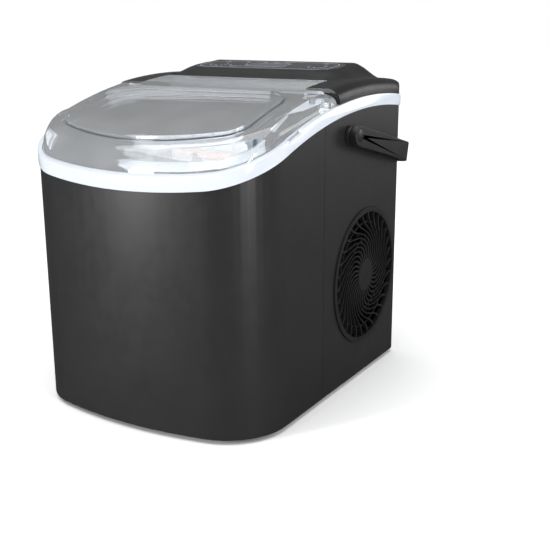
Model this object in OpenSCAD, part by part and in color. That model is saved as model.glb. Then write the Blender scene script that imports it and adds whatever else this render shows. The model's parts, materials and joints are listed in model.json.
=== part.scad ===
// Countertop bullet-ice maker with a see-through lid, swinging handle, side grille, ice basket and scoop.
// Lengths are in millimetres. +Z is up, the rounded front faces -Y, the side grille faces +X.
// The origin is on the floor, under the middle of the overall box at rest.

/* [Body] */
// Width of the housing
body_w = 222; // [185:1:267]
// Depth of the housing, from the crest of the bowed front to the back wall
body_d = 267.5; // [223:0.5:321]
// Radius of the bowed front in plan
bow_r = 331; // [280:1:400]
// Radius of the front corners in plan
corner_r = 51; // [42:1:61]
// Radius of the rear corners in plan
rear_r = 7; // [4:0.5:9]
// Housing wall thickness
wall = 2.4; // [2:0.1:3]
// Height of the housing's lower edge above the floor
foot_h = 4; // [3:0.5:8]
// Length of the front housing half, from the front crest to the side seam
front_len = 119.7; // [100:1:144]
// Gap at the seam between the two housing halves
seam_gap = 0.5; // [0.3:0.1:1]

/* [Top curve] */
// Radius of the arc that the housing's top edge follows
deck_r = 457; // [420:1:548]
// Height of that arc's crest above the floor
crest_z = 239.4; // [220:1:280]
// Distance of the crest ahead of the back wall
crest_back = 63.6; // [50:1:80]
// Height of the white trim band
band_h = 10; // [7:0.5:13]
// How far the band stands out from the housing
band_proud = 1.2; // [0.5:0.1:2]
// Rise of the lid and the top cover above the band
crown_h = 13; // [11:0.5:16]
// Radius of the crown's side edges
crown_round = 9; // [6:0.5:10]
// Length, depth of the finger notches in the band's top edge
notch_len = 19; // [14:1:24]
notch_depth = 2.5; // [1.5:0.5:4]
// Distance of the finger notches behind the front crest
notch_back = 71; // [60:1:85]

/* [Lid] */
// Thickness of the lid's moulded wall
lid_wall = 2.4; // [1.8:0.1:3]
// Gap all round between the lid and the trim band
lid_gap = 0.5; // [0.4:0.1:1]
// Distance of the hinge axis ahead of the back wall
hinge_back = 134.7; // [120:1:150]
// Height of the hinge axis above the band's top edge
hinge_rise = 1.9; // [1.5:0.1:3]
// Radius of the hinge pins
pin_r = 2.5; // [2:0.1:3]
// Running clearance of pins and shafts in their bores
run_fit = 0.06; // [0.03:0.01:0.1]
// Length of the lid's rear tongue behind the hinge axis
tongue_len = 45; // [38:1:50]
// Half width of the tongue
tongue_half = 82; // [66:1:90]
// Height of the raised window above the lid
window_rise = 3; // [2:0.5:4]
// Half width of the raised window
window_half = 86.5; // [66:0.5:92]
// Radius of the window's rear corners
window_corner = 24; // [15:1:30]
// Radius of the window's front corners
window_front_corner = 20; // [12:1:26]
// Radius of the window's bowed front edge
window_bow_r = 205; // [180:1:300]
// Setback of the window from the front crest, at the middle
window_front = 19; // [16:1:30]
// Gap between the window's rear edge and the hinge axis
window_back = 17; // [14:1:24]

/* [Control hump] */
// Half width of the hump's flat top
hump_half = 78.6; // [66:0.2:82]
// Spread of the hump's sloping sides
hump_skirt = 14; // [10:1:18]
// Height of the flat top's front edge above the lid's crown
hump_front_rise = 6.8; // [5:0.1:10]
// Height of the flat top's rear edge above its front edge
hump_tilt = 4.2; // [0:0.2:8]
// Length of the flat top
hump_len = 51; // [44:1:56]
// Length of the slope in front of the flat top
hump_slope_len = 15; // [12:1:18]
// Radius of the rear top edge
hump_rear_r = 23; // [18:1:23]
// Thickness of the control sheet
sheet_t = 0.8; // [0.5:0.1:1.2]
// Travel of the keys
key_travel = 0.6; // [0.4:0.1:1]

/* [Handle] */
// Distance of the handle's pivot ahead of the back wall
pivot_back = 106.7; // [95:1:115]
// Height of the handle's pivot
pivot_z = 220; // [205:1:230]
// Distance from the pivot to the grip's outer face
handle_reach = 119; // [112:1:142]
// Width of the handle's strap
strap_w = 17; // [14:0.5:20]
// Thickness of the handle's strap
strap_t = 6; // [5:0.5:8]
// Gap between the strap and the housing's side
strap_gap = 4.7; // [3:0.1:8]
// Angle below level at which the handle rests
rest_angle = 14; // [10:0.5:16]
// Corner radius of the handle
handle_corner = 20; // [12:1:26]

/* [Side grille] */
// Radius of the grille's opening
grille_r = 60.5; // [50:0.5:62]
// Distance of the grille's centre ahead of the back wall
grille_back = 69.9; // [66:0.1:76]
// Height of the grille's centre
grille_z = 93.3; // [85:0.1:105]
// Radius of the grille's hub
grille_hub_r = 14; // [11:0.5:17]
// Number of spiral vanes
vane_count = 30; // [20:1:36]
// Thickness of a vane
vane_t = 1.7; // [1.2:0.1:2.2]
// Sweep of a vane from hub to rim, in degrees
vane_sweep = 62; // [40:1:75]

/* [Ice bay] */
// Distance from the housing's outside to the bay's inner wall
bay_inset = 18.4; // [16:0.2:20]
// Thickness of the tub's walls
tub_wall = 2.2; // [1.8:0.1:3]
// Height of the tub's inner floor
tub_floor_z = 64; // [58:1:76]
// Height of the alcove's floor behind the bay
alcove_z = 132; // [128:1:138]
// Half width of the alcove behind the bay
alcove_half = 84; // [70:1:92]
// Height of the rails that carry the basket
rail_z = 92; // [84:1:100]

/* [Ice basket and scoop] */
// Height of the basket
basket_h = 80; // [66:1:84]
// Wall thickness of the basket
basket_wall = 1.8; // [1.4:0.1:2.4]
// Clearance between the basket and the bay's walls
basket_gap = 3.2; // [2:0.1:4]
// Length of the bail's arms
bail_len = 42; // [34:1:46]
// Length of the scoop's bowl
scoop_bowl_len = 72; // [60:1:78]
// Width of the scoop's bowl
scoop_w = 52; // [42:1:60]
// Depth of the scoop's bowl
scoop_d = 24; // [18:1:28]

/* [Freezing unit] */
// Number of evaporator fingers
finger_count = 9; // [7:1:11]
// Radius of a finger
finger_r = 5; // [4:0.5:5.5]
// Length of a finger below the evaporator's plate
finger_len = 24; // [18:1:24]
// Inner radius of the water tray's trough
trough_r = 20.5; // [19.5:0.1:21]
// Height of the tray's tilting axis
tray_z = 180; // [176:1:182]
// Half length of the water tray
tray_half = 72; // [58:1:74]
// Radius of the tray's shafts
shaft_r = 2.5; // [2:0.1:3]

/* [Cooling machinery] */
// Radius of the compressor's shell
comp_r = 44; // [38:1:47]
// Height of the compressor's shell
comp_h = 98; // [84:1:104]
// Radius of the fan's impeller
fan_r = 51; // [44:1:52]
// Number of fan blades
blade_count = 7; // [5:1:9]
// Thickness of the condenser's fin block
cond_t = 20; // [16:1:24]
// Height of the condenser's fin block
cond_h = 82; // [70:1:84]
// Radius of the copper lines
line_r = 3; // [2.5:0.1:3.2]

/* [Hidden] */
$fn = 48;
ARC_FN = 180;
EPS = 0.02;
SEAT = 0.3;
TOUCH = 0.15;
TALL = 420;

half_w = body_w / 2;
front_y = -body_d / 2;
back_y = body_d / 2;
seam_y = front_y + front_len;
arc_y = back_y - crest_back;
arc_z = crest_z - deck_r;
band_r = deck_r + band_h;
crown_r = band_r + crown_h;

// Height of an arc of radius r, concentric with the top curve, at the depth y
function arc_h(r, y) = arc_z + sqrt(r * r - (y - arc_y) * (y - arc_y));

hinge_y = back_y - hinge_back;
hinge_z = arc_h(band_r, hinge_y) + hinge_rise;
hinge_top_r = arc_h(crown_r, hinge_y) - hinge_z;
lid_inset = wall + lid_gap;
cover_gap = 0.8;
trough_clear_r = hinge_top_r + cover_gap;
trough_lining = 2;
window_lip = 3.5;
window_t = 2;
tongue_y = hinge_y + tongue_len;
tongue_sweep = norm([tongue_len, arc_h(crown_r, tongue_y) - hinge_z]);

hump_front_y = tongue_y + cover_gap;
hump_top_y = hump_front_y + hump_slope_len;
hump_top_z = arc_h(crown_r, tongue_y) + hump_front_rise;
hump_rear_y = hump_top_y + hump_len;
hump_rear_z = hump_top_z + hump_tilt;
tilt_angle = atan2(hump_tilt, hump_len);

pivot_y = back_y - pivot_back;
strap_x = half_w + strap_gap;
handle_rear = pivot_y + handle_reach * cos(rest_angle) + strap_w / 2 * sin(rest_angle);
frame_y = -(front_y - band_proud + handle_rear) / 2;
bush_r = strap_w / 2;
pivot_pin_r = 4;

grille_y = back_y - grille_back;
grille_x = half_w;
intake_half = 47;

bay_back_y = hinge_y - 3;
tub_outer = bay_inset - tub_wall;
flange_t = 4;
flange_r = band_r - TOUCH - SEAT;
alcove_back_y = tongue_y + 9;
foam_base = 16;
pan_t = 3;
pan_top = foot_h + 0.6 + pan_t;

tray_y = hinge_y + 29;
trough_wall = 1.7;
plate_z = tray_z + 5;
plate_half_w = 7;
plate_t = 5;
coil_r = 3;
coil_x = tray_half - 4;
coil_z = plate_z + plate_t + coil_r + TOUCH;
coil_pitch = 12;
coil_end_y = alcove_back_y + 6;

basket_inset = bay_inset + basket_gap;
basket_z = rail_z + SEAT;
basket_top = basket_z + basket_h;
basket_back_y = bay_back_y - 9;
basket_front_y = front_y + basket_inset;
bail_y = (basket_back_y + basket_front_y) / 2;
bail_t = 3;
bail_w = 7;
bail_pin_r = 2;
rim_w = 2.2;
rim_t = 2;
bail_x = half_w - basket_inset - basket_wall - SEAT - bail_t;

comp_x = -half_w + 13 + comp_r + 4;
comp_y = back_y - 58;
comp_z = pan_top + 9;
shroud_x = half_w - 23;
shroud_t = 17;
shroud_half = grille_r - 3.5;
cond_x = shroud_x - cond_t - 2.5;
cond_half = 50;
screw_zs = [20, 160];
board_z = coil_z + coil_r + 4;

BLACK = "#2b2c2e";
SATIN = "#333436";
WHITE = "#f2f5f8";
SMOKE = "#8f9599";
LINER = "#c3c8c8";
STEEL = "#b9bcbe";
COPPER = "#b87345";
FOAM = "#e8dcae";
CLEAR = "#dfe9f2";

// ---------- shared shapes ----------

function arc_points(cx, cy, r, a0, a1, n) =
    [for (i = [0 : n]) let (a = a0 + (a1 - a0) * i / n) [cx + r * cos(a), cy + r * sin(a)]];

// Plan with a bowed front: half width, front crest, back, bow radius, front and rear corner radii
function bowed(half, front, back, bow, fr, br) =
    let (
        reach = bow - fr,
        bow_y = front + bow,
        cx = half - fr,
        cy = bow_y - sqrt(reach * reach - cx * cx),
        turn = asin(cx / reach),
        n = 12
    )
    concat(
        arc_points(0, bow_y, bow, -90 - turn, -90 + turn, n),
        arc_points(cx, cy, fr, -90 + turn + (90 - turn) / n, 0, n - 1),
        arc_points(half - br, back - br, br, 0, 90, 4),
        arc_points(-half + br, back - br, br, 90, 180, 4),
        arc_points(-cx, cy, fr, -180, -90 - turn - (90 - turn) / n, n - 1)
    );

// Plan outline of the housing, moved inwards by d
function outline(d) =
    bowed(half_w - d, front_y + d, back_y - d, bow_r - d, corner_r - d, max(rear_r - d, 0.6));

// Upright prism on the outline, moved inwards by d
module prism(d, z0, z1) {
    translate([0, 0, z0]) linear_extrude(z1 - z0) polygon(outline(d));
}

// Everything inside the arc of radius r, which runs across the whole width
module under(r) {
    translate([0, arc_y, arc_z]) rotate([0, 90, 0])
        cylinder(r = r, h = 2 * body_w, center = true, $fn = ARC_FN);
}

// Box given by its two corners
module block(lo, hi) {
    translate(lo) cube(hi - lo);
}

// Everything between two depths
module between(y0, y1) {
    block([-body_w, y0, -1], [body_w, y1, TALL]);
}

// Cylinder along X from x0 to x1
module rod_x(x0, x1, y, z, r) {
    translate([x0, y, z]) rotate([0, 90, 0]) cylinder(r = r, h = x1 - x0);
}

// Cylinder along Y from y0 to y1
module rod_y(y0, y1, x, z, r) {
    translate([x, y0, z]) rotate([-90, 0, 0]) cylinder(r = r, h = y1 - y0);
}

// Upright cylinder from z0 to z1
module rod_z(z0, z1, x, y, r) {
    translate([x, y, z0]) cylinder(r = r, h = z1 - z0);
}

// Round bar along a route of points, with slightly swollen joints
module route(points, r) {
    $fn = 24;
    for (i = [0 : len(points) - 2]) {
        a = points[i];
        d = points[i + 1] - a;
        translate(a) rotate([0, acos(d.z / norm(d)), atan2(d.y, d.x)]) cylinder(r = r, h = norm(d));
    }
    for (i = [1 : len(points) - 2]) {
        translate(points[i]) sphere(r = r * 1.04);
    }
}

// The left and the right copy of what is drawn on the right
module both_sides() {
    children();
    mirror([1, 0, 0]) children();
}

// Moves the machine so that the middle of its overall box is over the origin
module placed() {
    translate([0, frame_y, 0]) children();
}

// Crown solid under the arc of radius r: side edges rounded by a revolved profile, half_x wide each side
module crown(half_x, r) {
    n = 6;
    profile = concat(
        [[r - 60, -half_x], [r - 60, half_x]],
        arc_points(r - crown_round, half_x - crown_round, crown_round, 90, 0, n),
        arc_points(r - crown_round, -half_x + crown_round, crown_round, 0, -90, n)
    );
    translate([0, arc_y, arc_z]) rotate([0, 90, 0]) rotate_extrude($fn = ARC_FN) polygon(profile);
}

// ---------- housing ----------

module base_pan() {
    inset = wall + 0.2;
    ribs = 5;
    color(BLACK) placed() difference() {
        union() {
            prism(inset, foot_h + 0.6, pan_top);
            for (i = [1 : ribs - 1]) {
                x = -half_w + body_w * i / ribs;
                block([x - 1, front_y + 30, pan_top - EPS], [x + 1, hinge_y, pan_top + 8]);
            }
        }
        for (sx = [-1, 1], y = [front_y + 45, back_y - 30]) {
            rod_z(0, pan_top + 1, sx * (half_w - 32), y, 4 + TOUCH);
        }
    }
}

module rubber_feet() {
    color("#1b1b1b") placed() for (sx = [-1, 1], y = [front_y + 45, back_y - 30]) {
        rod_z(0, foot_h + 0.5, sx * (half_w - 32), y, 10);
        rod_z(foot_h, pan_top, sx * (half_w - 32), y, 4);
    }
}

module housing_shell() {
    difference() {
        intersection() {
            prism(0, foot_h, TALL);
            under(deck_r);
        }
        prism(wall, foot_h - 1, TALL);
    }
}

module front_housing() {
    color(BLACK) placed() difference() {
        intersection() {
            housing_shell();
            between(front_y - 5, seam_y - seam_gap / 2);
        }
        rod_x(-half_w - 5, -half_w + 10, drain_y, drain_z, 5);
    }
}

module bush_bores() {
    rod_x(-body_w, body_w, pivot_y, pivot_z, pivot_pin_r + TOUCH);
}

module rear_housing() {
    slots = 9;
    back_slots = 7;
    color(BLACK) placed() difference() {
        intersection() {
            housing_shell();
            between(seam_y + seam_gap / 2, back_y + 5);
        }
        rod_x(half_w - 10, half_w + 10, grille_y, grille_z, grille_r);
        block([-half_w - 5, grille_y - intake_half - 0.2, grille_z - intake_half - 0.2],
            [-half_w + 5, grille_y + intake_half + 0.2, grille_z + intake_half + 0.2]);
        bush_bores();
        rod_y(back_y - 10, back_y + 10, -half_w + 40, 34, 9 + TOUCH);
        for (sx = [-1, 1], z = screw_zs) {
            rod_y(back_y - 10, back_y + 10, sx * (half_w - 16), z, 1.8 + TOUCH);
        }
        for (i = [0 : back_slots - 1]) {
            z = 96 + 10 * i;
            block([-46, back_y - 10, z], [46, back_y + 10, z + 4]);
        }
        for (i = [0 : slots - 1]) {
            x = -64 + 16 * i;
            block([x - 5, back_y - 10, 52], [x + 5, back_y + 10, 56]);
        }
    }
}

module trim_band() {
    color(WHITE) placed() difference() {
        intersection() {
            prism(-band_proud, foot_h, TALL);
            under(band_r);
        }
        under(deck_r + TOUCH);
        prism(wall, 0, TALL);
        intersection() {
            between(front_y + notch_back - notch_len / 2, front_y + notch_back + notch_len / 2);
            difference() {
                under(band_r + 5);
                under(band_r - notch_depth);
            }
        }
    }
}

// Side view of the hump, as points in depth and height
function hump_side(t) =
    let (r = hump_rear_r - t, cy = back_y - t - r, cz = hump_rear_z - t - r + 0.6)
    concat(
        [[hump_front_y + t, arc_z + crown_r - 60], [hump_front_y + t, arc_h(crown_r, tongue_y) - t * 0.4]],
        [[hump_top_y + t * 0.3, hump_top_z - t], [hump_rear_y, hump_rear_z - t]],
        arc_points(cy, cz, r, 84, 0, 6),
        [[back_y - t, arc_z + crown_r - 60]]
    );

// Front view of the hump, as points in width and height
function hump_face(t) =
    let (w = hump_half - t, foot = w + hump_skirt, base = arc_z + crown_r - t, top = hump_rear_z + 1 - t)
    concat(
        [[-foot, base - 50], [foot, base - 50], [foot, base]],
        [[foot - hump_skirt * 0.32, base + (top - base) * 0.22], [w - 1, base + (top - base) * 0.78]],
        [[w - hump_skirt * 0.45, top], [-w + hump_skirt * 0.45, top]],
        [[-w + 1, base + (top - base) * 0.78], [-foot + hump_skirt * 0.32, base + (top - base) * 0.22], [-foot, base]]
    );

// Everything inside the rounded upper edge of the back, moved inwards by t
module rear_edge(t) {
    y = back_y - crown_round;
    z = arc_h(crown_r - crown_round, y);
    block([-body_w, -body_d, 0], [body_w, y, TALL]);
    block([-body_w, y - 1, 0], [body_w, back_y - t, z]);
    rod_x(-body_w, body_w, y, z, crown_round - t);
}

// Solid form of the top cover, moved inwards by t
module cover_form(t) {
    intersection() {
        prism(t, foot_h, TALL);
        rear_edge(t);
        difference() {
            crown(half_w - t, crown_r - t);
            under(band_r + 0.2);
        }
        between(hinge_y + 7.8, back_y);
    }
    intersection() {
        prism(t, foot_h, TALL);
        rotate([90, 0, 90]) translate([0, 0, -body_w / 2]) linear_extrude(body_w) polygon(hump_side(t));
        rotate([90, 0, 0]) translate([0, 0, -body_d / 2 - 5]) linear_extrude(body_d + 10) polygon(hump_face(t));
        block([-body_w, -body_d, arc_z + crown_r - 12], [body_w, body_d, TALL]);
    }
}

// Where the lid lies when it is shut, with a gap of g
module lid_room(g) {
    block([-tongue_half - g, front_y - 5, hinge_z - 30], [tongue_half + g, tongue_y + g, TALL]);
    rod_x(-tongue_half - g, tongue_half + g, hinge_y, hinge_z, tongue_sweep + g);
    block([-body_w, front_y - 5, 0], [body_w, hinge_y, TALL]);
    rod_x(-body_w, body_w, hinge_y, hinge_z, hinge_top_r + g);
}

key_xs = [-52, -30, 52];
key_r = 6.5;
key_y = hump_len * 0.45;
key_gap = 0.4;
key_root = 5;
display_half = 17;
display_len = 15;
display_y = 18;

// Puts its children on the tilted top of the hump: x across, y up the slope, z out of the face
module on_hump() {
    translate([0, hump_top_y, hump_top_z]) rotate([tilt_angle, 0, 0]) children();
}

module top_cover() {
    color(SATIN) placed() difference() {
        cover_form(0);
        difference() {
            cover_form(wall);
            block([-body_w, -body_d, 0], [body_w, hinge_y + trough_clear_r + wall, TALL]);
            block([-tongue_half - cover_gap - wall, -body_d, 0],
                [tongue_half + cover_gap + wall, hump_front_y + 2.2 * wall, TALL]);
        }
        lid_room(cover_gap);
        on_hump() block([-hump_half + 4, 2, -sheet_t - 0.1], [hump_half - 4, hump_len - 2, 5]);
        on_hump() for (x = key_xs) {
            translate([x, key_y, -10]) cylinder(r = key_r + key_gap, h = 20);
        }
        on_hump() block([-display_half, display_y, -10], [display_half, display_y + display_len, 5]);
    }
}

module control_sheet() {
    color("#3c3e41") placed() on_hump() difference() {
        block([-hump_half + 4.3, 2.3, -sheet_t], [hump_half - 4.3, hump_len - 2.3, 0.05]);
        for (x = key_xs) {
            translate([x, key_y, -5]) cylinder(r = key_r + key_gap, h = 10);
        }
        block([-display_half, display_y, -5], [display_half, display_y + display_len, 5]);
    }
}

module display_window() {
    color("#5b6270") placed() on_hump()
        block([-display_half + 0.2, display_y + 0.2, -3], [display_half - 0.2, display_y - 0.2 + display_len, 0.05]);
}

module display_board() {
    color("#1f6b3a") placed() on_hump() {
        block([-62, 8, -9], [62, hump_len - 6, -7.4]);
        block([-display_half + 1, display_y + 1, -7.4], [display_half - 1, display_y - 1 + display_len, -3.3]);
        for (sx = [-1, 1], y = [12, hump_len - 10]) {
            translate([sx * 58, y, -7.4]) cylinder(r = 3, h = 4.6);
        }
    }
}

module key(x) {
    color("#55585c") placed() on_hump() translate([x, key_y, 0]) {
        translate([0, 0, -key_root]) cylinder(r = key_r, h = key_root + key_travel);
        translate([0, 0, -key_root - 0.4]) cylinder(r = key_r + 1.4, h = 1);
    }
}

module power_key() {
    key(key_xs[2]);
}

module size_key() {
    key(key_xs[1]);
}

module timer_key() {
    key(key_xs[0]);
}

// ---------- tub and insulation ----------

module hinge_troughs() {
    both_sides() rod_x(tongue_half - 2, half_w - wall, hinge_y, hinge_z, trough_clear_r);
}

// Solid bars from which the hinge troughs' linings are cut, grown by g
module trough_bars(g) {
    both_sides() rod_x(tongue_half + lid_gap - g, half_w - lid_inset + g, hinge_y, hinge_z,
        trough_clear_r + trough_lining + g);
}

module hinge_ears() {
    ear_r = 5;
    x0 = half_w - 14;
    x1 = half_w - 9;
    both_sides() {
        rod_x(x0, x1, hinge_y, hinge_z, ear_r);
        block([x0, hinge_y - ear_r, hinge_z - trough_clear_r - trough_lining / 2], [x1, hinge_y - 1.2, hinge_z]);
    }
}

// The bay and the alcove behind it as one solid
module tub_body(d, z0, bay_y, alcove_z0, alcove_x, alcove_y) {
    intersection() {
        prism(d, z0, TALL);
        between(front_y, bay_y);
    }
    block([-alcove_x, bay_back_y - 1, alcove_z0], [alcove_x, alcove_y, TALL]);
}

module tub_cavity() {
    tub_body(bay_inset, tub_floor_z, bay_back_y, alcove_z, alcove_half, alcove_back_y - tub_wall);
}

module tub_liner() {
    color(LINER) placed() difference() {
        union() {
            difference() {
                union() {
                    intersection() {
                        difference() {
                            tub_body(tub_outer, tub_floor_z - tub_wall, bay_back_y + tub_wall, alcove_z - tub_wall,
                                alcove_half + tub_wall, alcove_back_y);
                            tub_cavity();
                        }
                        under(flange_r - 1);
                    }
                    intersection() {
                        difference() {
                            prism(lid_inset - 0.2, 0, TALL);
                            tub_cavity();
                            under(flange_r - flange_t);
                        }
                        under(flange_r);
                        between(front_y, alcove_back_y);
                    }
                    intersection() {
                        trough_bars(0);
                        under(flange_r);
                    }
                }
                hinge_troughs();
            }
            hinge_ears();
            both_sides() intersection() {
                block([half_w - bay_inset - 7, front_y + 60, rail_z - 4], [half_w - bay_inset + 1, bay_back_y - 8, rail_z]);
                prism(tub_outer + 0.5, 0, TALL);
            }
        }
        rod_x(-body_w, body_w, hinge_y, hinge_z, pin_r + run_fit);
        rod_x(-body_w, body_w, tray_y, tray_z, shaft_r + run_fit);
        rod_x(-half_w, -half_w + 40, bay_back_y - 40, tub_floor_z + 7, 6 + TOUCH);
        rod_z(tub_floor_z - 10, tub_floor_z + 5, pump_x, outlet_y, hose_r + 0.5 + TOUCH);
        rod_x(0, half_w - 10, hose_y, hose_z, hose_r + TOUCH);
        for (x = [-coil_x, -coil_x + coil_pitch]) {
            rod_y(tray_y, back_y, x, coil_z, coil_r + TOUCH);
        }
    }
}

module foam_insulation() {
    gap = TOUCH;
    color(FOAM) placed() difference() {
        intersection() {
            prism(wall + SEAT, tub_floor_z - tub_wall - foam_base, TALL);
            between(front_y, bay_back_y - 1);
            under(flange_r - flange_t - 0.5);
        }
        prism(tub_outer - gap, tub_floor_z - tub_wall - gap, TALL);
        trough_bars(gap);
        rod_x(-body_w, 0, bay_back_y - 40, tub_floor_z + 7, 8 + TOUCH);
        rod_z(0, tub_floor_z + 5, pump_x, outlet_y, hose_r + 2);
    }
}

module splash_guard() {
    half = half_w - bay_inset - SEAT;
    low = tray_z + trough_r + 5;
    high = hinge_z - trough_clear_r - 2;
    ribs = 9;
    color(LINER) placed() {
        block([-half, bay_back_y - 3, low], [half, bay_back_y - 0.8, high]);
        for (i = [0 : ribs - 1]) {
            x = -half + 2 * half * (i + 0.5) / ribs;
            block([x - 1.2, bay_back_y - 6.5, low], [x + 1.2, bay_back_y - 3 + EPS, high]);
        }
        for (sx = [-1, 1]) {
            block([sx * 58 - 4, bay_back_y - 10, low - 7], [sx * 58 + 4, bay_back_y - 1, low + EPS]);
        }
    }
}

module ice_level_sensors() {
    color("#e9edf0") placed() both_sides() {
        z = tray_z + trough_r + 12;
        x = half_w - bay_inset;
        rod_x(x - 5, x - SEAT / 2, bay_back_y - 14, z, 3);
        translate([x - 5, bay_back_y - 14, z]) sphere(r = 2.4);
    }
}

// ---------- freezing unit ----------

module evaporator_plate() {
    color(STEEL) placed() {
        difference() {
            block([-alcove_half + SEAT, tray_y - plate_half_w, plate_z],
                [alcove_half - SEAT, tray_y + plate_half_w, plate_z + plate_t]);
            for (i = [0 : finger_count - 1]) {
                rod_z(plate_z - 1, plate_z + plate_t + 1, finger_x(i), tray_y, finger_r * 0.6 + 0.02);
            }
        }
        both_sides() block([alcove_half - 4, tray_y - plate_half_w - 4, plate_z - 1],
            [alcove_half - SEAT, tray_y + plate_half_w + 4, plate_z + plate_t + 3]);
    }
}

function finger_x(i) = -tray_half + 10 + (2 * tray_half - 20) * i / (finger_count - 1);

module evaporator_fingers() {
    color("#d9dcde") placed() for (i = [0 : finger_count - 1]) {
        x = finger_x(i);
        rod_z(plate_z - finger_len + finger_r, plate_z - 0.1, x, tray_y, finger_r);
        translate([x, tray_y, plate_z - finger_len + finger_r]) sphere(r = finger_r);
        rod_z(plate_z - 1, plate_z + plate_t, x, tray_y, finger_r * 0.6);
    }
}

module evaporator_coil() {
    x = coil_x;
    z = coil_z;
    y0 = tray_y - plate_half_w + coil_r;
    y1 = tray_y + plate_half_w - coil_r;
    color(COPPER) placed() {
        route([[-x, coil_end_y, z], [-x, y0, z], [x, y0, z], [x, y1, z], [coil_pitch - x, y1, z],
            [coil_pitch - x, coil_end_y, z]], coil_r);
    }
}

module trough_half(r, x) {
    intersection() {
        rod_x(-x, x, tray_y, tray_z, r);
        block([-x, tray_y - r, tray_z - r - 1], [x, tray_y + r, tray_z - 7]);
    }
}

module water_tray() {
    out_r = trough_r + trough_wall;
    color(WHITE) placed() difference() {
        union() {
            trough_half(out_r, tray_half + trough_wall);
            both_sides() hull() {
                rod_x(tray_half, tray_half + trough_wall, tray_y, tray_z, shaft_r + 2.2);
                rod_x(tray_half, tray_half + trough_wall, tray_y, tray_z - 10, shaft_r + 5);
            }
            both_sides() rod_x(tray_half, tray_half + trough_wall + 5, tray_y, tray_z, shaft_r + 2);
        }
        trough_half(trough_r, tray_half - 0.01);
        rod_x(-body_w, body_w, tray_y, tray_z, shaft_r);
    }
}

module tray_shafts() {
    color(STEEL) placed() {
        rod_x(tray_half + 0.4, alcove_half + tub_wall + 2, tray_y, tray_z, shaft_r);
        rod_x(-alcove_half - tub_wall - 8, -tray_half - 0.4, tray_y, tray_z, shaft_r);
    }
}

module tray_motor() {
    x1 = -alcove_half - tub_wall - TOUCH;
    depth = min(17, half_w - wall - alcove_half - tub_wall - 1.5);
    color("#d8d8d2") placed() difference() {
        union() {
            block([x1 - depth, tray_y - 15, tray_z - 18], [x1, tray_y + 22, tray_z + 17]);
            rod_x(x1 - depth, x1, tray_y + 4, tray_z - 18, 6);
        }
        rod_x(x1 - 9, x1 + 1, tray_y, tray_z, shaft_r + run_fit);
    }
}

pusher_z = alcove_z + 2.5;

module ice_pusher() {
    teeth = 8;
    half = alcove_half - 6;
    y = alcove_back_y - tub_wall - 4;
    color(WHITE) placed() difference() {
        union() {
            block([-half, y - 3, pusher_z], [half, y, pusher_z + 15]);
            for (i = [0 : teeth - 1]) {
                x = finger_x(i) + (2 * tray_half - 20) / (finger_count - 1) / 2;
                block([x - 1.2, y - 12, pusher_z], [x + 1.2, y - 2, pusher_z + 8]);
            }
        }
        both_sides() block([half - 6, y - 5, pusher_z + 4], [half - 3, y + 2, pusher_z + 7]);
    }
}

module pusher_rails() {
    half = alcove_half - 6;
    color(STEEL) placed() both_sides()
        block([half - 5.7, bay_back_y + 2, pusher_z + 4.3], [half - 3.3, alcove_back_y - tub_wall - TOUCH, pusher_z + 6.7]);
}

// ---------- water ----------

pump_x = 24;
pump_y = hinge_y + 30;
pump_r = 17;
hose_r = 3.4;
hose_y = bay_back_y + 6;
hose_z = tray_z + 16;
outlet_y = bay_back_y - 16;
float_x = half_w - bay_inset - 14;
float_y = bay_back_y - 14;
float_stem_r = 2.4;

module water_pump() {
    color("#e4e6e2") placed() {
        rod_z(pan_top + TOUCH, pan_top + 30, pump_x, pump_y, pump_r);
        rod_z(pan_top + 30 - EPS, pan_top + 44, pump_x, pump_y, pump_r - 5);
        block([pump_x - 20, pump_y - 6, pan_top + TOUCH], [pump_x + 20, pump_y + 6, pan_top + 4]);
        rod_y(pump_y - pump_r - 6, pump_y - pump_r + 3, pump_x, pan_top + 15, 3.5);
    }
}

module water_hose() {
    low_z = pan_top + 15;
    over_z = alcove_z - tub_wall - 6;
    wall_x = alcove_half + tub_wall;
    color("#e8e4da") placed() {
        route([[pump_x, outlet_y, tub_floor_z - 6], [pump_x, outlet_y, low_z],
            [pump_x, pump_y - pump_r - 6 - TOUCH, low_z]], hose_r);
        rod_z(tub_floor_z - 8, tub_floor_z + 3, pump_x, outlet_y, hose_r + 0.5);
        route([[pump_x, pump_y, pan_top + 44 + TOUCH], [pump_x, pump_y, over_z], [pump_x, hose_y, over_z],
            [wall_x + 5, hose_y, over_z],
            [wall_x + 5, hose_y, hose_z], [alcove_half, hose_y, hose_z]], hose_r);
    }
}

module float_stem() {
    color(WHITE) placed() {
        rod_z(tub_floor_z + TOUCH, tub_floor_z + 3, float_x, float_y, 8);
        rod_z(tub_floor_z + 2, tub_floor_z + 21, float_x, float_y, float_stem_r);
        rod_z(tub_floor_z + 20, tub_floor_z + 22, float_x, float_y, 5);
    }
}

module float_ring() {
    color("#e9a13b") placed() difference() {
        rod_z(tub_floor_z + 3 + SEAT, tub_floor_z + 11, float_x, float_y, 7);
        rod_z(tub_floor_z, tub_floor_z + 20, float_x, float_y, float_stem_r + 0.1);
    }
}

drain_y = bay_back_y - 40;
drain_z = tub_floor_z + 7;

module drain_spout() {
    color(LINER) placed() difference() {
        union() {
            rod_x(-half_w + wall + TOUCH, -half_w + bay_inset + 1, drain_y, drain_z, 6);
            rod_x(-half_w + wall + TOUCH, -half_w + wall + 3, drain_y, drain_z, 8);
        }
        rod_x(-half_w, -half_w + bay_inset + 5, drain_y, drain_z, 4);
    }
}

module drain_plug() {
    color("#26272a") placed() {
        rod_x(-half_w - 0.8 - 3, -half_w - 0.3, drain_y, drain_z, 8.5);
        rod_x(-half_w - 1, -half_w + wall + 10, drain_y, drain_z, 3.94);
    }
}

// ---------- air and refrigerant ----------

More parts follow.
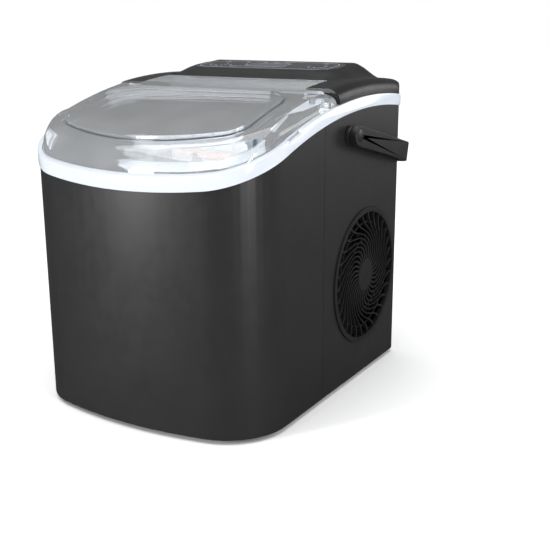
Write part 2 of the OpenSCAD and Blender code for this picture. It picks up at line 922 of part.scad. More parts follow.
// Swept vane: an S-shaped strip from the hub to the rim, in plan
function vane_angle(u) = vane_sweep * (u - 0.16 * sin(360 * u));
function vane_edge(side, n) =
    [for (i = [0 : n])
        let (u = i / n, r = grille_hub_r - 1 + (grille_r - grille_hub_r - 2) * u, a = vane_angle(u) + side * vane_t / 2 / r * 57.3)
        [r * cos(a), r * sin(a)]];

module vane_plan() {
    n = 9;
    low = vane_edge(-1, n);
    high = vane_edge(1, n);
    polygon(concat(low, [for (i = [0 : n]) high[n - i]]));
}

module ring_plan(r1, r0) {
    difference() {
        circle(r = r1, $fn = 96);
        circle(r = r0, $fn = 96);
    }
}

module fan_grille() {
    face = grille_x + 0.6;
    depth = 3.2;
    color(SATIN) placed() translate([face - depth, grille_y, grille_z]) rotate([90, 0, 90]) {
        linear_extrude(depth + 0.8) ring_plan(grille_r - TOUCH, grille_r - 4.5);
        linear_extrude(depth + 0.3) circle(r = grille_hub_r, $fn = 72);
        linear_extrude(depth) for (i = [0 : vane_count - 1]) {
            rotate(360 * i / vane_count) vane_plan();
        }
        linear_extrude(1.5) {
            ring_plan(32.6, 31.4);
            ring_plan(47.6, 46.4);
        }
    }
}

module intake_grille() {
    bars = 13;
    s = intake_half;
    color(SATIN) placed() difference() {
        block([-half_w - 0.4, grille_y - s, grille_z - s], [-half_w + wall, grille_y + s, grille_z + s]);
        for (i = [0 : bars - 1]) {
            z = grille_z - s + 4 + i * (2 * s - 6) / bars;
            block([-half_w - 5, grille_y - s + 5, z], [-half_w + 5, grille_y - 1.5, z + 4]);
            block([-half_w - 5, grille_y + 1.5, z], [-half_w + 5, grille_y + s - 5, z + 4]);
        }
    }
}

module fan_shroud() {
    color("#35373a") placed() difference() {
        union() {
            block([shroud_x, grille_y - shroud_half, grille_z - shroud_half],
                [shroud_x + 2, grille_y + shroud_half, grille_z + shroud_half]);
            rod_x(shroud_x, shroud_x + shroud_t, grille_y, grille_z, fan_r + 3.5);
            for (sy = [-1, 1]) {
                block([shroud_x, grille_y + sy * 40 - 5, pan_top + TOUCH],
                    [shroud_x + 2, grille_y + sy * 40 + 5, grille_z]);
            }
        }
        difference() {
            rod_x(shroud_x - 1, shroud_x + shroud_t + 1, grille_y, grille_z, fan_r + 1.5);
            block([shroud_x, grille_y - 3, grille_z - 90], [shroud_x + 2, grille_y + 3, grille_z + 90]);
            block([shroud_x, grille_y - 90, grille_z - 3], [shroud_x + 2, grille_y + 90, grille_z + 3]);
            rod_x(shroud_x, shroud_x + 2, grille_y, grille_z, 20);
        }
    }
}

module fan_motor() {
    color("#4a4d52") placed() {
        rod_x(shroud_x + 2 + TOUCH, shroud_x + 6, grille_y, grille_z, 14);
        rod_x(shroud_x + 5, shroud_x + shroud_t - 2.5, grille_y, grille_z, 2.4);
    }
}

module fan_impeller() {
    x0 = shroud_x + 7;
    x1 = shroud_x + shroud_t - 1;
    color("#222326") placed() difference() {
        union() {
            rod_x(x0, x1, grille_y, grille_z, 16);
            intersection() {
                difference() {
                    rod_x(x0, x1, grille_y, grille_z, fan_r);
                    rod_x(x0 - 1, x1 + 1, grille_y, grille_z, 14);
                }
                translate([(x0 + x1) / 2, grille_y, grille_z]) for (i = [0 : blade_count - 1]) {
                    rotate([360 * i / blade_count, 0, 0]) translate([0, 0, fan_r / 2 + 6])
                        rotate([0, 0, 38]) cube([1.6, 24, fan_r + 6], center = true);
                }
            }
        }
        rod_x(x0 - 1, x1 - 1.5, grille_y, grille_z, 2.4 + run_fit);
    }
}

cond_z0 = pan_top + 24;

module condenser_fins() {
    fins = 26;
    color("#c9ccce") placed() difference() {
        union() {
            for (i = [0 : fins - 1]) {
                y = grille_y - cond_half + 2 * cond_half * i / (fins - 1);
                block([cond_x, y - 0.4, cond_z0], [cond_x + cond_t, y + 0.4, cond_z0 + cond_h]);
            }
            for (sy = [-1, 1]) {
                y = grille_y + sy * (cond_half + 1.4);
                block([cond_x - 2, y - 1, pan_top + TOUCH], [cond_x + cond_t + 2, y + 1, cond_z0 + cond_h + 2]);
            }
            for (z = [cond_z0 + 6, cond_z0 + cond_h - 8]) {
                block([cond_x + 1, grille_y - cond_half - 2, z], [cond_x + 2, grille_y + cond_half + 2, z + 2]);
            }
        }
        for (i = [0 : 5]) {
            rod_y(grille_y - 60, grille_y + 60, cond_x + cond_t / 2, tube_z(i), line_r + TOUCH);
        }
    }
}

bend_y = cond_half + 6;
function tube_z(i) = cond_z0 + 7 + i * (cond_h - 14) / 5;

module condenser_tube() {
    x = cond_x + cond_t / 2;
    rows = [for (i = [0 : 5]) let (side = i % 2 == 0 ? -1 : 1)
        each [[x, grille_y + side * bend_y, tube_z(i)], [x, grille_y - side * bend_y, tube_z(i)]]];
    color(COPPER) placed() route(rows, line_r);
}

module compressor_shell() {
    color("#1d1e20") placed() translate([comp_x, comp_y, comp_z + 2 + TOUCH]) {
        rotate_extrude($fn = 96) polygon(concat(
            [[0, 0], [comp_r - 8, 0]],
            arc_points(comp_r - 10, 10, 10, -60, 0, 5),
            arc_points(comp_r - 22, comp_h - 22, 22, 0, 80, 8),
            [[0, comp_h]]
        ));
        translate([0, 0, comp_h * 0.62]) cylinder(r = comp_r + 2, h = 4, $fn = 96);
    }
}

module compressor_base() {
    color("#2a2b2d") placed() difference() {
        block([comp_x - comp_r + 2, comp_y - comp_r + 2, comp_z], [comp_x + comp_r - 2, comp_y + comp_r - 2, comp_z + 2]);
        for (sx = [-1, 1], sy = [-1, 1]) {
            rod_z(0, comp_z + 5, comp_x + sx * (comp_r - 9), comp_y + sy * (comp_r - 9), 3.2);
        }
    }
}

module compressor_grommets() {
    color("#171717") placed() for (sx = [-1, 1], sy = [-1, 1]) {
        x = comp_x + sx * (comp_r - 9);
        y = comp_y + sy * (comp_r - 9);
        rod_z(pan_top + TOUCH, comp_z - TOUCH, x, y, 7);
        rod_z(pan_top + TOUCH, comp_z + 5, x, y, 3);
    }
}

module terminal_box() {
    x = comp_x + comp_r + 2.3;
    color("#26282a") placed() block([x, comp_y - 14, comp_z + 30], [x + 15, comp_y + 14, comp_z + 70]);
}

drier_x = cond_x - 16;
drier_y = back_y - 22;

module filter_drier() {
    color(COPPER) placed() {
        rod_z(66, 118, drier_x, drier_y, 8.5);
        rod_z(60, 124, drier_x, drier_y, 4);
    }
}

module hot_gas_valve() {
    x = comp_x + 8;
    y = back_y - wall - 14;
    z = 150;
    color("#8a8f94") placed() {
        block([x - 12, y - 12, z], [x + 12, y + 13.8, z + 22]);
        rod_z(z - 8, z + 30, x, y, 4.5);
    }
}

module copper_lines() {
    top = comp_z + 2 + TOUCH + comp_h + 0.1;
    valve_x = comp_x + 8;
    valve_y = back_y - wall - 14;
    cx = cond_x + cond_t / 2;
    join_y = coil_end_y + TOUCH;
    low_z = comp_z;
    side_x = cond_x - 15;
    side_z = comp_z + 23;
    color(COPPER) placed() {
        route([[comp_x + 20, comp_y, top], [comp_x + 20, comp_y, 136], [valve_x, comp_y, 136],
            [valve_x, valve_y, 136], [valve_x, valve_y, 142 - TOUCH]], line_r);
        route([[valve_x, valve_y, 180 + TOUCH], [valve_x, valve_y, coil_z], [coil_pitch - coil_x, valve_y, coil_z],
            [coil_pitch - coil_x, join_y, coil_z]], line_r);
        route([[comp_x - 22, comp_y, top], [comp_x - 22, comp_y, coil_z], [-coil_x, comp_y - 5, coil_z],
            [-coil_x, join_y, coil_z]], line_r);
        route([[cx, grille_y + bend_y, tube_z(5) + line_r + TOUCH], [cx, grille_y + bend_y, 132],
            [drier_x, drier_y, 132], [drier_x, drier_y, 124 + TOUCH]], line_r);
        route([[cx, grille_y - bend_y, tube_z(0) - line_r - TOUCH], [cx, grille_y - bend_y, low_z],
            [side_x, grille_y - bend_y, low_z], [side_x, comp_y, low_z], [side_x, comp_y, side_z],
            [comp_x + comp_r + SEAT, comp_y, side_z]], line_r);
        route([[drier_x, drier_y, 60 - TOUCH], [drier_x, drier_y, 48], [drier_x - 20, drier_y, 48],
            [drier_x - 20, drier_y, 176], [drier_x - 20, alcove_back_y + TOUCH, 176]], 1.6);
    }
}

// ---------- electrics ----------

module board_tray() {
    half = 74;
    color(BLACK) placed() difference() {
        block([-half, alcove_back_y + TOUCH, board_z], [half, back_y - wall - TOUCH, board_z + 8]);
        block([-half + 2, alcove_back_y + 2, board_z + 2], [half - 2, back_y - wall - 2, board_z + 20]);
        block([comp_x - 18, alcove_back_y - 1, board_z - 5], [comp_x + 16, alcove_back_y + 16, board_z + 20]);
    }
}

module power_board() {
    color("#1f6b3a") placed() {
        y0 = alcove_back_y + 20;
        y1 = back_y - wall - 6;
        block([-66, y0, board_z + 2 + TOUCH], [66, y1, board_z + 4]);
        block([-50, y0 + 4, board_z + 4 - EPS], [-24, y0 + 26, board_z + 26]);
        block([-10, y0 + 6, board_z + 4 - EPS], [6, y0 + 20, board_z + 20]);
        for (i = [0 : 2]) {
            rod_z(board_z + 4 - EPS, board_z + 22, 24 + 14 * i, y0 + 14, 5);
        }
    }
}

module cord_gland() {
    x = -half_w + 40;
    color("#1b1b1c") placed() difference() {
        union() {
            rod_y(back_y - wall - 5, back_y + 2.5, x, 34, 9);
            rod_y(back_y + TOUCH, back_y + 3, x, 34, 12);
            rod_y(back_y - wall - 5, back_y - wall - TOUCH, x, 34, 12);
        }
        rod_y(back_y - 20, back_y + 10, x, 34, 3.6);
    }
}

module housing_screws() {
    color(STEEL) placed() for (sx = [-1, 1], z = screw_zs) {
        rod_y(back_y - wall - 6, back_y + 1.4, sx * (half_w - 16), z, 1.8);
        rod_y(back_y + TOUCH, back_y + 1.6, sx * (half_w - 16), z, 3.6);
    }
}

// ---------- lid ----------

// Depth from the window's front crest to the middle of its front corners, and the room left for its rear corners
window_reach = window_bow_r - window_front_corner;
window_bow = window_bow_r - sqrt(window_reach * window_reach - pow(window_half - window_front_corner, 2));
window_room = hinge_y - window_back - front_y - window_front - window_bow - 2;
window_rear_corner = min(window_corner, window_room);

// Plan of the raised window, moved inwards by d
module window_plan(d) {
    polygon(bowed(window_half - d, front_y + window_front + d, hinge_y - window_back - d,
        window_bow_r - d, window_front_corner - d, window_rear_corner - d));
}

// Solid form of the lid's shell, moved inwards by t
module lid_form(t) {
    bow = bow_r - lid_inset - t;
    slope_h = 60;
    slope = 0.62;
    front_z = arc_h(band_r, front_y) + 5;
    intersection() {
        prism(lid_inset + t, 0, TALL);
        crown(half_w - lid_inset + 0.6 - t, crown_r - t);
        union() {
            translate([0, front_y + bow_r, front_z]) cylinder(r1 = bow, r2 = bow - slope_h * slope, h = slope_h, $fn = ARC_FN);
            translate([0, front_y + bow_r, 0]) cylinder(r = bow, h = front_z + EPS, $fn = ARC_FN);
        }
        union() {
            block([-body_w, front_y - 5, 0], [body_w, hinge_y, TALL]);
            rod_x(-body_w, body_w, hinge_y, hinge_z, hinge_top_r - t);
            block([-tongue_half + t, front_y, hinge_z - 4], [tongue_half - t, tongue_y, TALL]);
        }
    }
}

module lid_frame() {
    boss_r = pin_r + 2.6;
    color(SMOKE, 0.6) placed() difference() {
        union() {
            difference() {
                lid_form(0);
                difference() {
                    lid_form(lid_wall);
                    under(band_r - 30);
                }
                intersection() {
                    under(band_r);
                    block([-body_w, front_y - 5, 0], [body_w, hinge_y, TALL]);
                }
                block([-body_w, hinge_y - EPS, 0], [body_w, tongue_y + 5, hinge_z - 0.5]);
                intersection() {
                    under(crown_r - lid_wall);
                    block([-tongue_half - 3, hinge_y - EPS, 0], [tongue_half + 3, tongue_y + 5, TALL]);
                }
            }
            both_sides() rod_x(half_w - lid_inset - 5, half_w - lid_inset - 0.3, hinge_y, hinge_z, boss_r);
        }
        linear_extrude(TALL) window_plan(window_lip);
        rod_x(-body_w, body_w, hinge_y, hinge_z, pin_r + run_fit);
    }
}

module lid_window() {
    color(SMOKE, 0.4) placed() difference() {
        intersection() {
            linear_extrude(TALL) window_plan(0);
            under(crown_r + window_rise);
        }
        intersection() {
            linear_extrude(TALL) window_plan(window_lip + SEAT + 1.8);
            under(crown_r + window_rise - window_t);
        }
        difference() {
            under(crown_r + TOUCH);
            linear_extrude(TALL) window_plan(window_lip + SEAT);
        }
        under(crown_r - lid_wall);
    }
}

module lid_hinge_pins() {
    color(STEEL) placed() both_sides()
        rod_x(half_w - 15, half_w - lid_inset - 0.4, hinge_y, hinge_z, pin_r);
}

// ---------- handle ----------

// Plan of the handle: a U strap with round outer corners, pivots at depth 0
module handle_plan() {
    out_x = strap_x + strap_t;
    r = handle_corner;
    difference() {
        union() {
            translate([-out_x, -bush_r]) square([2 * out_x, handle_reach + bush_r - r]);
            translate([-out_x + r, 0]) square([2 * (out_x - r), handle_reach]);
            for (sx = [-1, 1]) {
                translate([sx * (out_x - r), handle_reach - r]) circle(r = r, $fn = 96);
            }
        }
        union() {
            translate([-strap_x, -bush_r - 1]) square([2 * strap_x, handle_reach + bush_r + 1 - r]);
            translate([-out_x + r, -bush_r]) square([2 * (out_x - r), handle_reach - strap_t + bush_r]);
            for (sx = [-1, 1]) {
                translate([sx * (out_x - r), handle_reach - r]) circle(r = r - strap_t, $fn = 96);
            }
        }
    }
}

module handle() {
    color(BLACK) placed() translate([0, pivot_y, pivot_z]) rotate([-rest_angle, 0, 0]) difference() {
        intersection() {
            translate([0, 0, -strap_w / 2]) linear_extrude(strap_w) handle_plan();
            union() {
                rod_x(-body_w, body_w, 0, 0, strap_w / 2);
                block([-body_w, 0, -strap_w], [body_w, handle_reach + 5, strap_w]);
            }
        }
        rod_x(-body_w, body_w, 0, 0, pivot_pin_r + run_fit);
    }
}

module handle_bushes() {
    color(BLACK) placed() both_sides() {
        rod_x(half_w + TOUCH, strap_x - SEAT, pivot_y, pivot_z, bush_r - 0.5);
        rod_x(half_w - wall - 4, strap_x + strap_t - 1, pivot_y, pivot_z, pivot_pin_r);
        rod_x(half_w - wall - 4, half_w - wall - TOUCH, pivot_y, pivot_z, 8);
    }
}

// ---------- basket and scoop ----------

module basket_form(d, z0, z1) {
    intersection() {
        prism(basket_inset + d, z0, z1);
        between(front_y, basket_back_y - d);
    }
}

module ice_basket() {
    slots = 11;
    slot_w = 6;
    span = 2 * (half_w - basket_inset) - 56;
    side_slots = 5;
    side_span = basket_back_y - front_y - 96;
    color(CLEAR) placed() difference() {
        union() {
            basket_form(0, basket_z, basket_top);
            basket_form(-rim_w, basket_top - rim_t, basket_top);
        }
        basket_form(basket_wall, basket_z + basket_wall, basket_top + 1);
        for (i = [0 : slots - 1]) {
            x = -span / 2 + span * i / (slots - 1);
            block([x - slot_w / 2, front_y, basket_z + 6], [x + slot_w / 2, bay_back_y, basket_z + 30]);
        }
        for (i = [0 : side_slots - 1]) {
            y = front_y + 70 + side_span * i / (side_slots - 1);
            block([-half_w, y - slot_w / 2, basket_z + 6], [half_w, y + slot_w / 2, basket_z + 30]);
        }
        rod_x(-half_w, half_w, bail_y, basket_top - 8, bail_pin_r + run_fit);
    }
}

module basket_bail() {
    z = basket_top - 8;
    x0 = bail_x;
    x1 = bail_x + bail_t;
    color(CLEAR) placed() {
        both_sides() {
            rod_x(x0, x1, bail_y, z, bail_w / 2);
            block([x0, bail_y, z - bail_w / 2], [x1, bail_y + bail_len, z + bail_w / 2]);
            rod_x(x0, x1 + SEAT + basket_wall, bail_y, z, bail_pin_r);
        }
        block([-x1, bail_y + bail_len - bail_t, z - bail_w / 2], [x1, bail_y + bail_len, z + bail_w / 2]);
    }
}

module ice_scoop() {
    t = 2;
    x0 = -scoop_bowl_len;
    y = bail_y + 6;
    z = basket_z + basket_wall + SEAT;
    color("#e6edf3") placed() {
        difference() {
            block([x0, y - scoop_w / 2, z], [0, y + scoop_w / 2, z + scoop_d]);
            block([x0 - 1, y - scoop_w / 2 + t, z + t], [-t, y + scoop_w / 2 - t, z + scoop_d + 1]);
            translate([x0, y, z + scoop_d + 6]) rotate([90, 0, 0])
                cylinder(r = scoop_d, h = scoop_w + 2, center = true, $fn = 72);
        }
        block([-t, y - 9, z + scoop_d - 5], [scoop_bowl_len * 0.9, y + 9, z + scoop_d]);
    }
}

base_pan();
rubber_feet();
front_housing();
rear_housing();
trim_band();
top_cover();
control_sheet();
display_window();
display_board();
power_key();
size_key();
timer_key();
tub_liner();
foam_insulation();
splash_guard();
ice_level_sensors();
evaporator_plate();
evaporator_fingers();
evaporator_coil();
water_tray();
tray_shafts();
tray_motor();
ice_pusher();
pusher_rails();
water_pump();
water_hose();
float_stem();
float_ring();
drain_spout();
drain_plug();
fan_grille();
intake_grille();
fan_shroud();
fan_motor();
fan_impeller();
condenser_fins();
condenser_tube();
compressor_shell();
compressor_base();
compressor_grommets();
terminal_box();
filter_drier();
hot_gas_valve();
copper_lines();
board_tray();
power_board();
cord_gland();
housing_screws();
lid_frame();
lid_window();
lid_hinge_pins();
handle();
handle_bushes();
ice_basket();
basket_bail();
ice_scoop();
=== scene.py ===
"""A countertop ice maker: its looks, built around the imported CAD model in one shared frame."""

import json
import logging
import math
from dataclasses import dataclass
from enum import Enum
from functools import cached_property
from typing import Any, Optional

import bpy
from bpy.types import Material, Node, NodeSocket, NodeTree, Object
from mathutils import Matrix, Vector


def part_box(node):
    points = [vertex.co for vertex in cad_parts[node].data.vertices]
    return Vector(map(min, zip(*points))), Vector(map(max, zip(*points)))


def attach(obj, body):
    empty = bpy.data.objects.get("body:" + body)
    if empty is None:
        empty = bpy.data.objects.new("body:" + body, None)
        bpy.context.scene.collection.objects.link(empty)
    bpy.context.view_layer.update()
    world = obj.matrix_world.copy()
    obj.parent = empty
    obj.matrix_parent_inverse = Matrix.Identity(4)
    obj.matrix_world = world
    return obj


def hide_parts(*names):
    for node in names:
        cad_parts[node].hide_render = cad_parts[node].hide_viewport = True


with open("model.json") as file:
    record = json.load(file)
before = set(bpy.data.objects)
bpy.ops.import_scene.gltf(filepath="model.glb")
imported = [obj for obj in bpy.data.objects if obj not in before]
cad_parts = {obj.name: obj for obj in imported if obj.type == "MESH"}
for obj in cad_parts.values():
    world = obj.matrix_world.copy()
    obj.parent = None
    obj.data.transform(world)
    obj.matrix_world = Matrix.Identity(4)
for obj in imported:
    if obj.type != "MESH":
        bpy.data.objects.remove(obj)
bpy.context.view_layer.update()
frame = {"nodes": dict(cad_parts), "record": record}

MM = 0.001
SMOOTH_DEG = 32.0  # surfaces that meet at less than this are shaded as one
WELD_MM = 0.004  # corners of a copied mesh closer than this are one
FLAT_DEG = 0.4  # faces of a copied mesh that turn less than this are one flat
CORNER_STEPS = 16  # steps round a modelled corner
RING_STEPS = 8  # steps round a corner of a printed outline
FLAT_WEIGHT = 100  # the largest flat alone sets a shared corner's shading
log = logging.getLogger("ice_maker")
Pair = tuple[float, float]
Triple = tuple[float, float, float]
Outline = list[tuple[Vector, Vector]]  # points with their outward directions


# ---------- colour and node helpers ----------

NOISE_LOW, NOISE_HIGH = 0.3, 0.7  # nearly all of a noise texture's values lie between these
NOISE_ROUGH = 0.55
BRICK_ROW = 0.25  # the height of a brick texture's row before it is scaled


def linear(code: str) -> tuple[float, float, float, float]:
    """Turns an sRGB hex colour into linear RGBA.

    Args:
        code: The colour as #rrggbb.

    Returns:
        The linear colour with an alpha of 1.
    """
    parts = [int(code[i : i + 2], 16) / 255 for i in (1, 3, 5)]
    lin = [c / 12.92 if c <= 0.04045 else ((c + 0.055) / 1.055) ** 2.4 for c in parts]
    return (*lin, 1.0)


def add_node(tree: NodeTree, kind: str, inputs: Optional[dict[Any, Any]] = None, **settings: Any) -> Node:
    """Adds a node, sets its properties and fills or links its inputs.

    Args:
        tree: The node tree.
        kind: The node's type name, after ShaderNode.
        inputs: Values or output sockets by input name or number.
        **settings: Properties of the node.

    Returns:
        The new node.
    """
    node = tree.nodes.new("ShaderNode" + kind)
    for key, value in settings.items():
        setattr(node, key, value)
    for key, value in (inputs or {}).items():
        if isinstance(value, NodeSocket):
            tree.links.new(value, node.inputs[key])
        else:
            node.inputs[key].default_value = value
    return node


def fresh_material(name: str) -> tuple[Material, NodeTree, NodeSocket]:
    """Makes an empty node material.

    Args:
        name: The material's name.

    Returns:
        The material, its tree and the object coordinates, in metres.
    """
    material = bpy.data.materials.new(name)
    material.use_nodes = True
    tree = material.node_tree
    tree.nodes.clear()
    place = add_node(tree, "TexCoord").outputs["Object"]
    return material, tree, place


def per_mm(size_mm: float) -> float:
    """The noise scale that makes features of this size, for coordinates in metres."""
    return 1.0 / (size_mm * MM)


def noise(tree: NodeTree, place: NodeSocket, size_mm: float, detail: float) -> NodeSocket:
    """Noise with features of a real size.

    Args:
        tree: The node tree.
        place: The coordinates.
        size_mm: The size of the features.
        detail: The number of finer octaves.

    Returns:
        The noise value's socket.
    """
    made = add_node(tree, "TexNoise", {
        "Vector": place, "Scale": per_mm(size_mm), "Detail": detail, "Roughness": NOISE_ROUGH,
    })
    return made.outputs["Fac"]


def spread(tree: NodeTree, value: NodeSocket, low: float, high: float) -> NodeSocket:
    """Maps noise from its usual range onto low to high."""
    made = add_node(tree, "MapRange", {
        "Value": value, "From Min": NOISE_LOW, "From Max": NOISE_HIGH, "To Min": low, "To Max": high,
    })
    return made.outputs["Result"]


def tinted(tree: NodeTree, value: NodeSocket, first: str, second: str) -> NodeSocket:
    """Blends two hex colours by a noise value."""
    part = spread(tree, value, 0.0, 1.0)
    made = add_node(
        tree,
        "Mix",
        {0: part, 6: linear(first), 7: linear(second)},
        data_type="RGBA",
        clamp_factor=True,
    )
    return made.outputs[2]


def grained(tree: NodeTree, height: NodeSocket, depth_mm: float, strength: float) -> NodeSocket:
    """A bumped normal from a height pattern of a real depth."""
    made = add_node(tree, "Bump", {"Height": height, "Strength": strength, "Distance": depth_mm * MM})
    return made.outputs["Normal"]


def mixed(tree: NodeTree, share: NodeSocket, first: Node, second: Node) -> Node:
    """Mixes two shaders by a share, where 0 is all the first."""
    return add_node(tree, "MixShader", {0: share, 1: first.outputs[0], 2: second.outputs[0]})


def surfaced(material: Material, inputs: dict[str, Any]) -> Material:
    """Ends a material with one principled surface that has these inputs."""
    tree = material.node_tree
    shader = add_node(tree, "BsdfPrincipled", inputs)
    add_node(tree, "OutputMaterial", {"Surface": shader.outputs[0]})
    return material


# ---------- finishes ----------


@dataclass(frozen=True)
class MouldedPlastic:
    """Opaque injection-moulded plastic: the mould's spark-eroded grain scatters its highlight."""

    name: str
    colour: str
    shade: str
    rough: Pair = (0.42, 0.52)
    grain_mm: float = 0.9
    depth_mm: float = 0.03
    ior: float = 1.53
    coat: float = 0.0
    coat_rough: float = 0.06
    gloss: float = 0.5
    cloud_mm: float = 38.0
    wear_mm: float = 9.0
    grain_strength: float = 0.5

    def build(self) -> Material:
        """Builds the material."""
        material, tree, place = fresh_material(self.name)
        clouds = noise(tree, place, self.cloud_mm, 3.0)
        grain = noise(tree, place, self.grain_mm, 2.0)
        return surfaced(material, {
            "Base Color": tinted(tree, clouds, self.colour, self.shade),
            "Roughness": spread(tree, noise(tree, place, self.wear_mm, 4.0), *self.rough),
            "Normal": grained(tree, grain, self.depth_mm, self.grain_strength),
            "IOR": self.ior,
            "Specular IOR Level": self.gloss,
            "Coat Weight": self.coat,
            "Coat Roughness": self.coat_rough,
        })


@dataclass(frozen=True)
class ClearPlastic:
    """See-through moulded plastic: a thin haze in the wall under a polished skin.

    Light passes through it undimmed on its way in, so that what is behind it is well lit.
    """

    name: str
    tint: str
    haze_colour: str
    haze: Pair
    rough: float = 0.03
    ior: float = 1.55
    flow_mm: float = 26.0
    flow_depth_mm: float = 0.05
    flow_strength: float = 0.3

    def build(self) -> Material:
        """Builds the material."""
        material, tree, place = fresh_material(self.name)
        flow = noise(tree, place, self.flow_mm, 1.0)
        bump = grained(tree, flow, self.flow_depth_mm, self.flow_strength)
        through = add_node(tree, "BsdfTransparent", {"Color": linear(self.tint)})
        cloudy = add_node(tree, "BsdfDiffuse", {"Color": linear(self.haze_colour)})
        wall = mixed(tree, spread(tree, flow, *self.haze), through, cloudy)
        skin = add_node(tree, "BsdfAnisotropic", {
            "Color": linear("#ffffff"), "Roughness": self.rough, "Normal": bump,
        })
        facing = add_node(tree, "Fresnel", {"IOR": self.ior, "Normal": bump})
        both = mixed(tree, facing.outputs[0], wall, skin)
        path = add_node(tree, "LightPath")
        bright = add_node(tree, "BsdfTransparent", {"Color": linear("#ffffff")})
        let_in = mixed(tree, path.outputs["Is Shadow Ray"], both, bright)
        add_node(tree, "OutputMaterial", {"Surface": let_in.outputs[0]})
        return material


@dataclass(frozen=True)
class WorkedMetal:
    """Metal with the marks of how it was drawn, rolled or plated."""

    name: str
    colour: str
    shade: str
    rough: Pair = (0.24, 0.38)
    mark_mm: Triple = (0.5, 14.0, 14.0)
    depth_mm: float = 0.01
    tarnish_mm: float = 12.0
    mark_strength: float = 0.4

    def build(self) -> Material:
        """Builds the material."""
        material, tree, place = fresh_material(self.name)
        stretched = add_node(tree, "Mapping", {
            "Vector": place, "Scale": Vector([per_mm(v) for v in self.mark_mm]),
        })
        marks = add_node(
            tree, "TexNoise", {"Vector": stretched.outputs[0], "Scale": 1.0, "Detail": 3.0}
        ).outputs["Fac"]
        return surfaced(material, {
            "Base Color": tinted(tree, noise(tree, place, self.tarnish_mm, 4.0), self.colour, self.shade),
            "Metallic": 1.0,
            "Roughness": spread(tree, marks, *self.rough),
            "Normal": grained(tree, marks, self.depth_mm, self.mark_strength),
        })


@dataclass(frozen=True)
class CellularFoam:
    """Blown insulation foam: open cut cells over a mottled buff colour."""

    name: str
    colour: str
    shade: str
    cell_mm: float = 2.2
    mottle_mm: float = 18.0
    rough: float = 0.92
    depth_mm: float = 0.5
    cell_strength: float = 0.6

    def build(self) -> Material:
        """Builds the material."""
        material, tree, place = fresh_material(self.name)
        cells = add_node(tree, "TexVoronoi", {"Vector": place, "Scale": per_mm(self.cell_mm)})
        return surfaced(material, {
            "Base Color": tinted(tree, noise(tree, place, self.mottle_mm, 3.0), self.colour, self.shade),
            "Roughness": self.rough,
            "Normal": grained(tree, cells.outputs["Distance"], self.depth_mm, self.cell_strength),
        })


@dataclass(frozen=True)
class CircuitBoard:
    """Glass-fibre laminate under solder mask: copper tracks show as a lighter, glossier green."""

    name: str
    mask: str
    track: str
    row_mm: float = 4.8
    line_share: float = 0.03
    rough: Pair = (0.25, 0.4)
    depth_mm: float = 0.04
    wear_mm: float = 5.0
    track_strength: float = 0.5

    def build(self) -> Material:
        """Builds the material."""
        material, tree, place = fresh_material(self.name)
        tracks = add_node(tree, "TexBrick", {
            "Vector": place,
            "Color1": linear(self.track),
            "Color2": linear(self.mask),
            "Mortar": linear(self.mask),
            "Scale": per_mm(self.row_mm) * BRICK_ROW,
            "Mortar Size": self.line_share,
        })
        return surfaced(material, {
            "Base Color": tracks.outputs["Color"],
            "Roughness": spread(tree, noise(tree, place, self.wear_mm, 2.0), *self.rough),
            "Normal": grained(tree, tracks.outputs["Fac"], self.depth_mm, self.track_strength),
        })


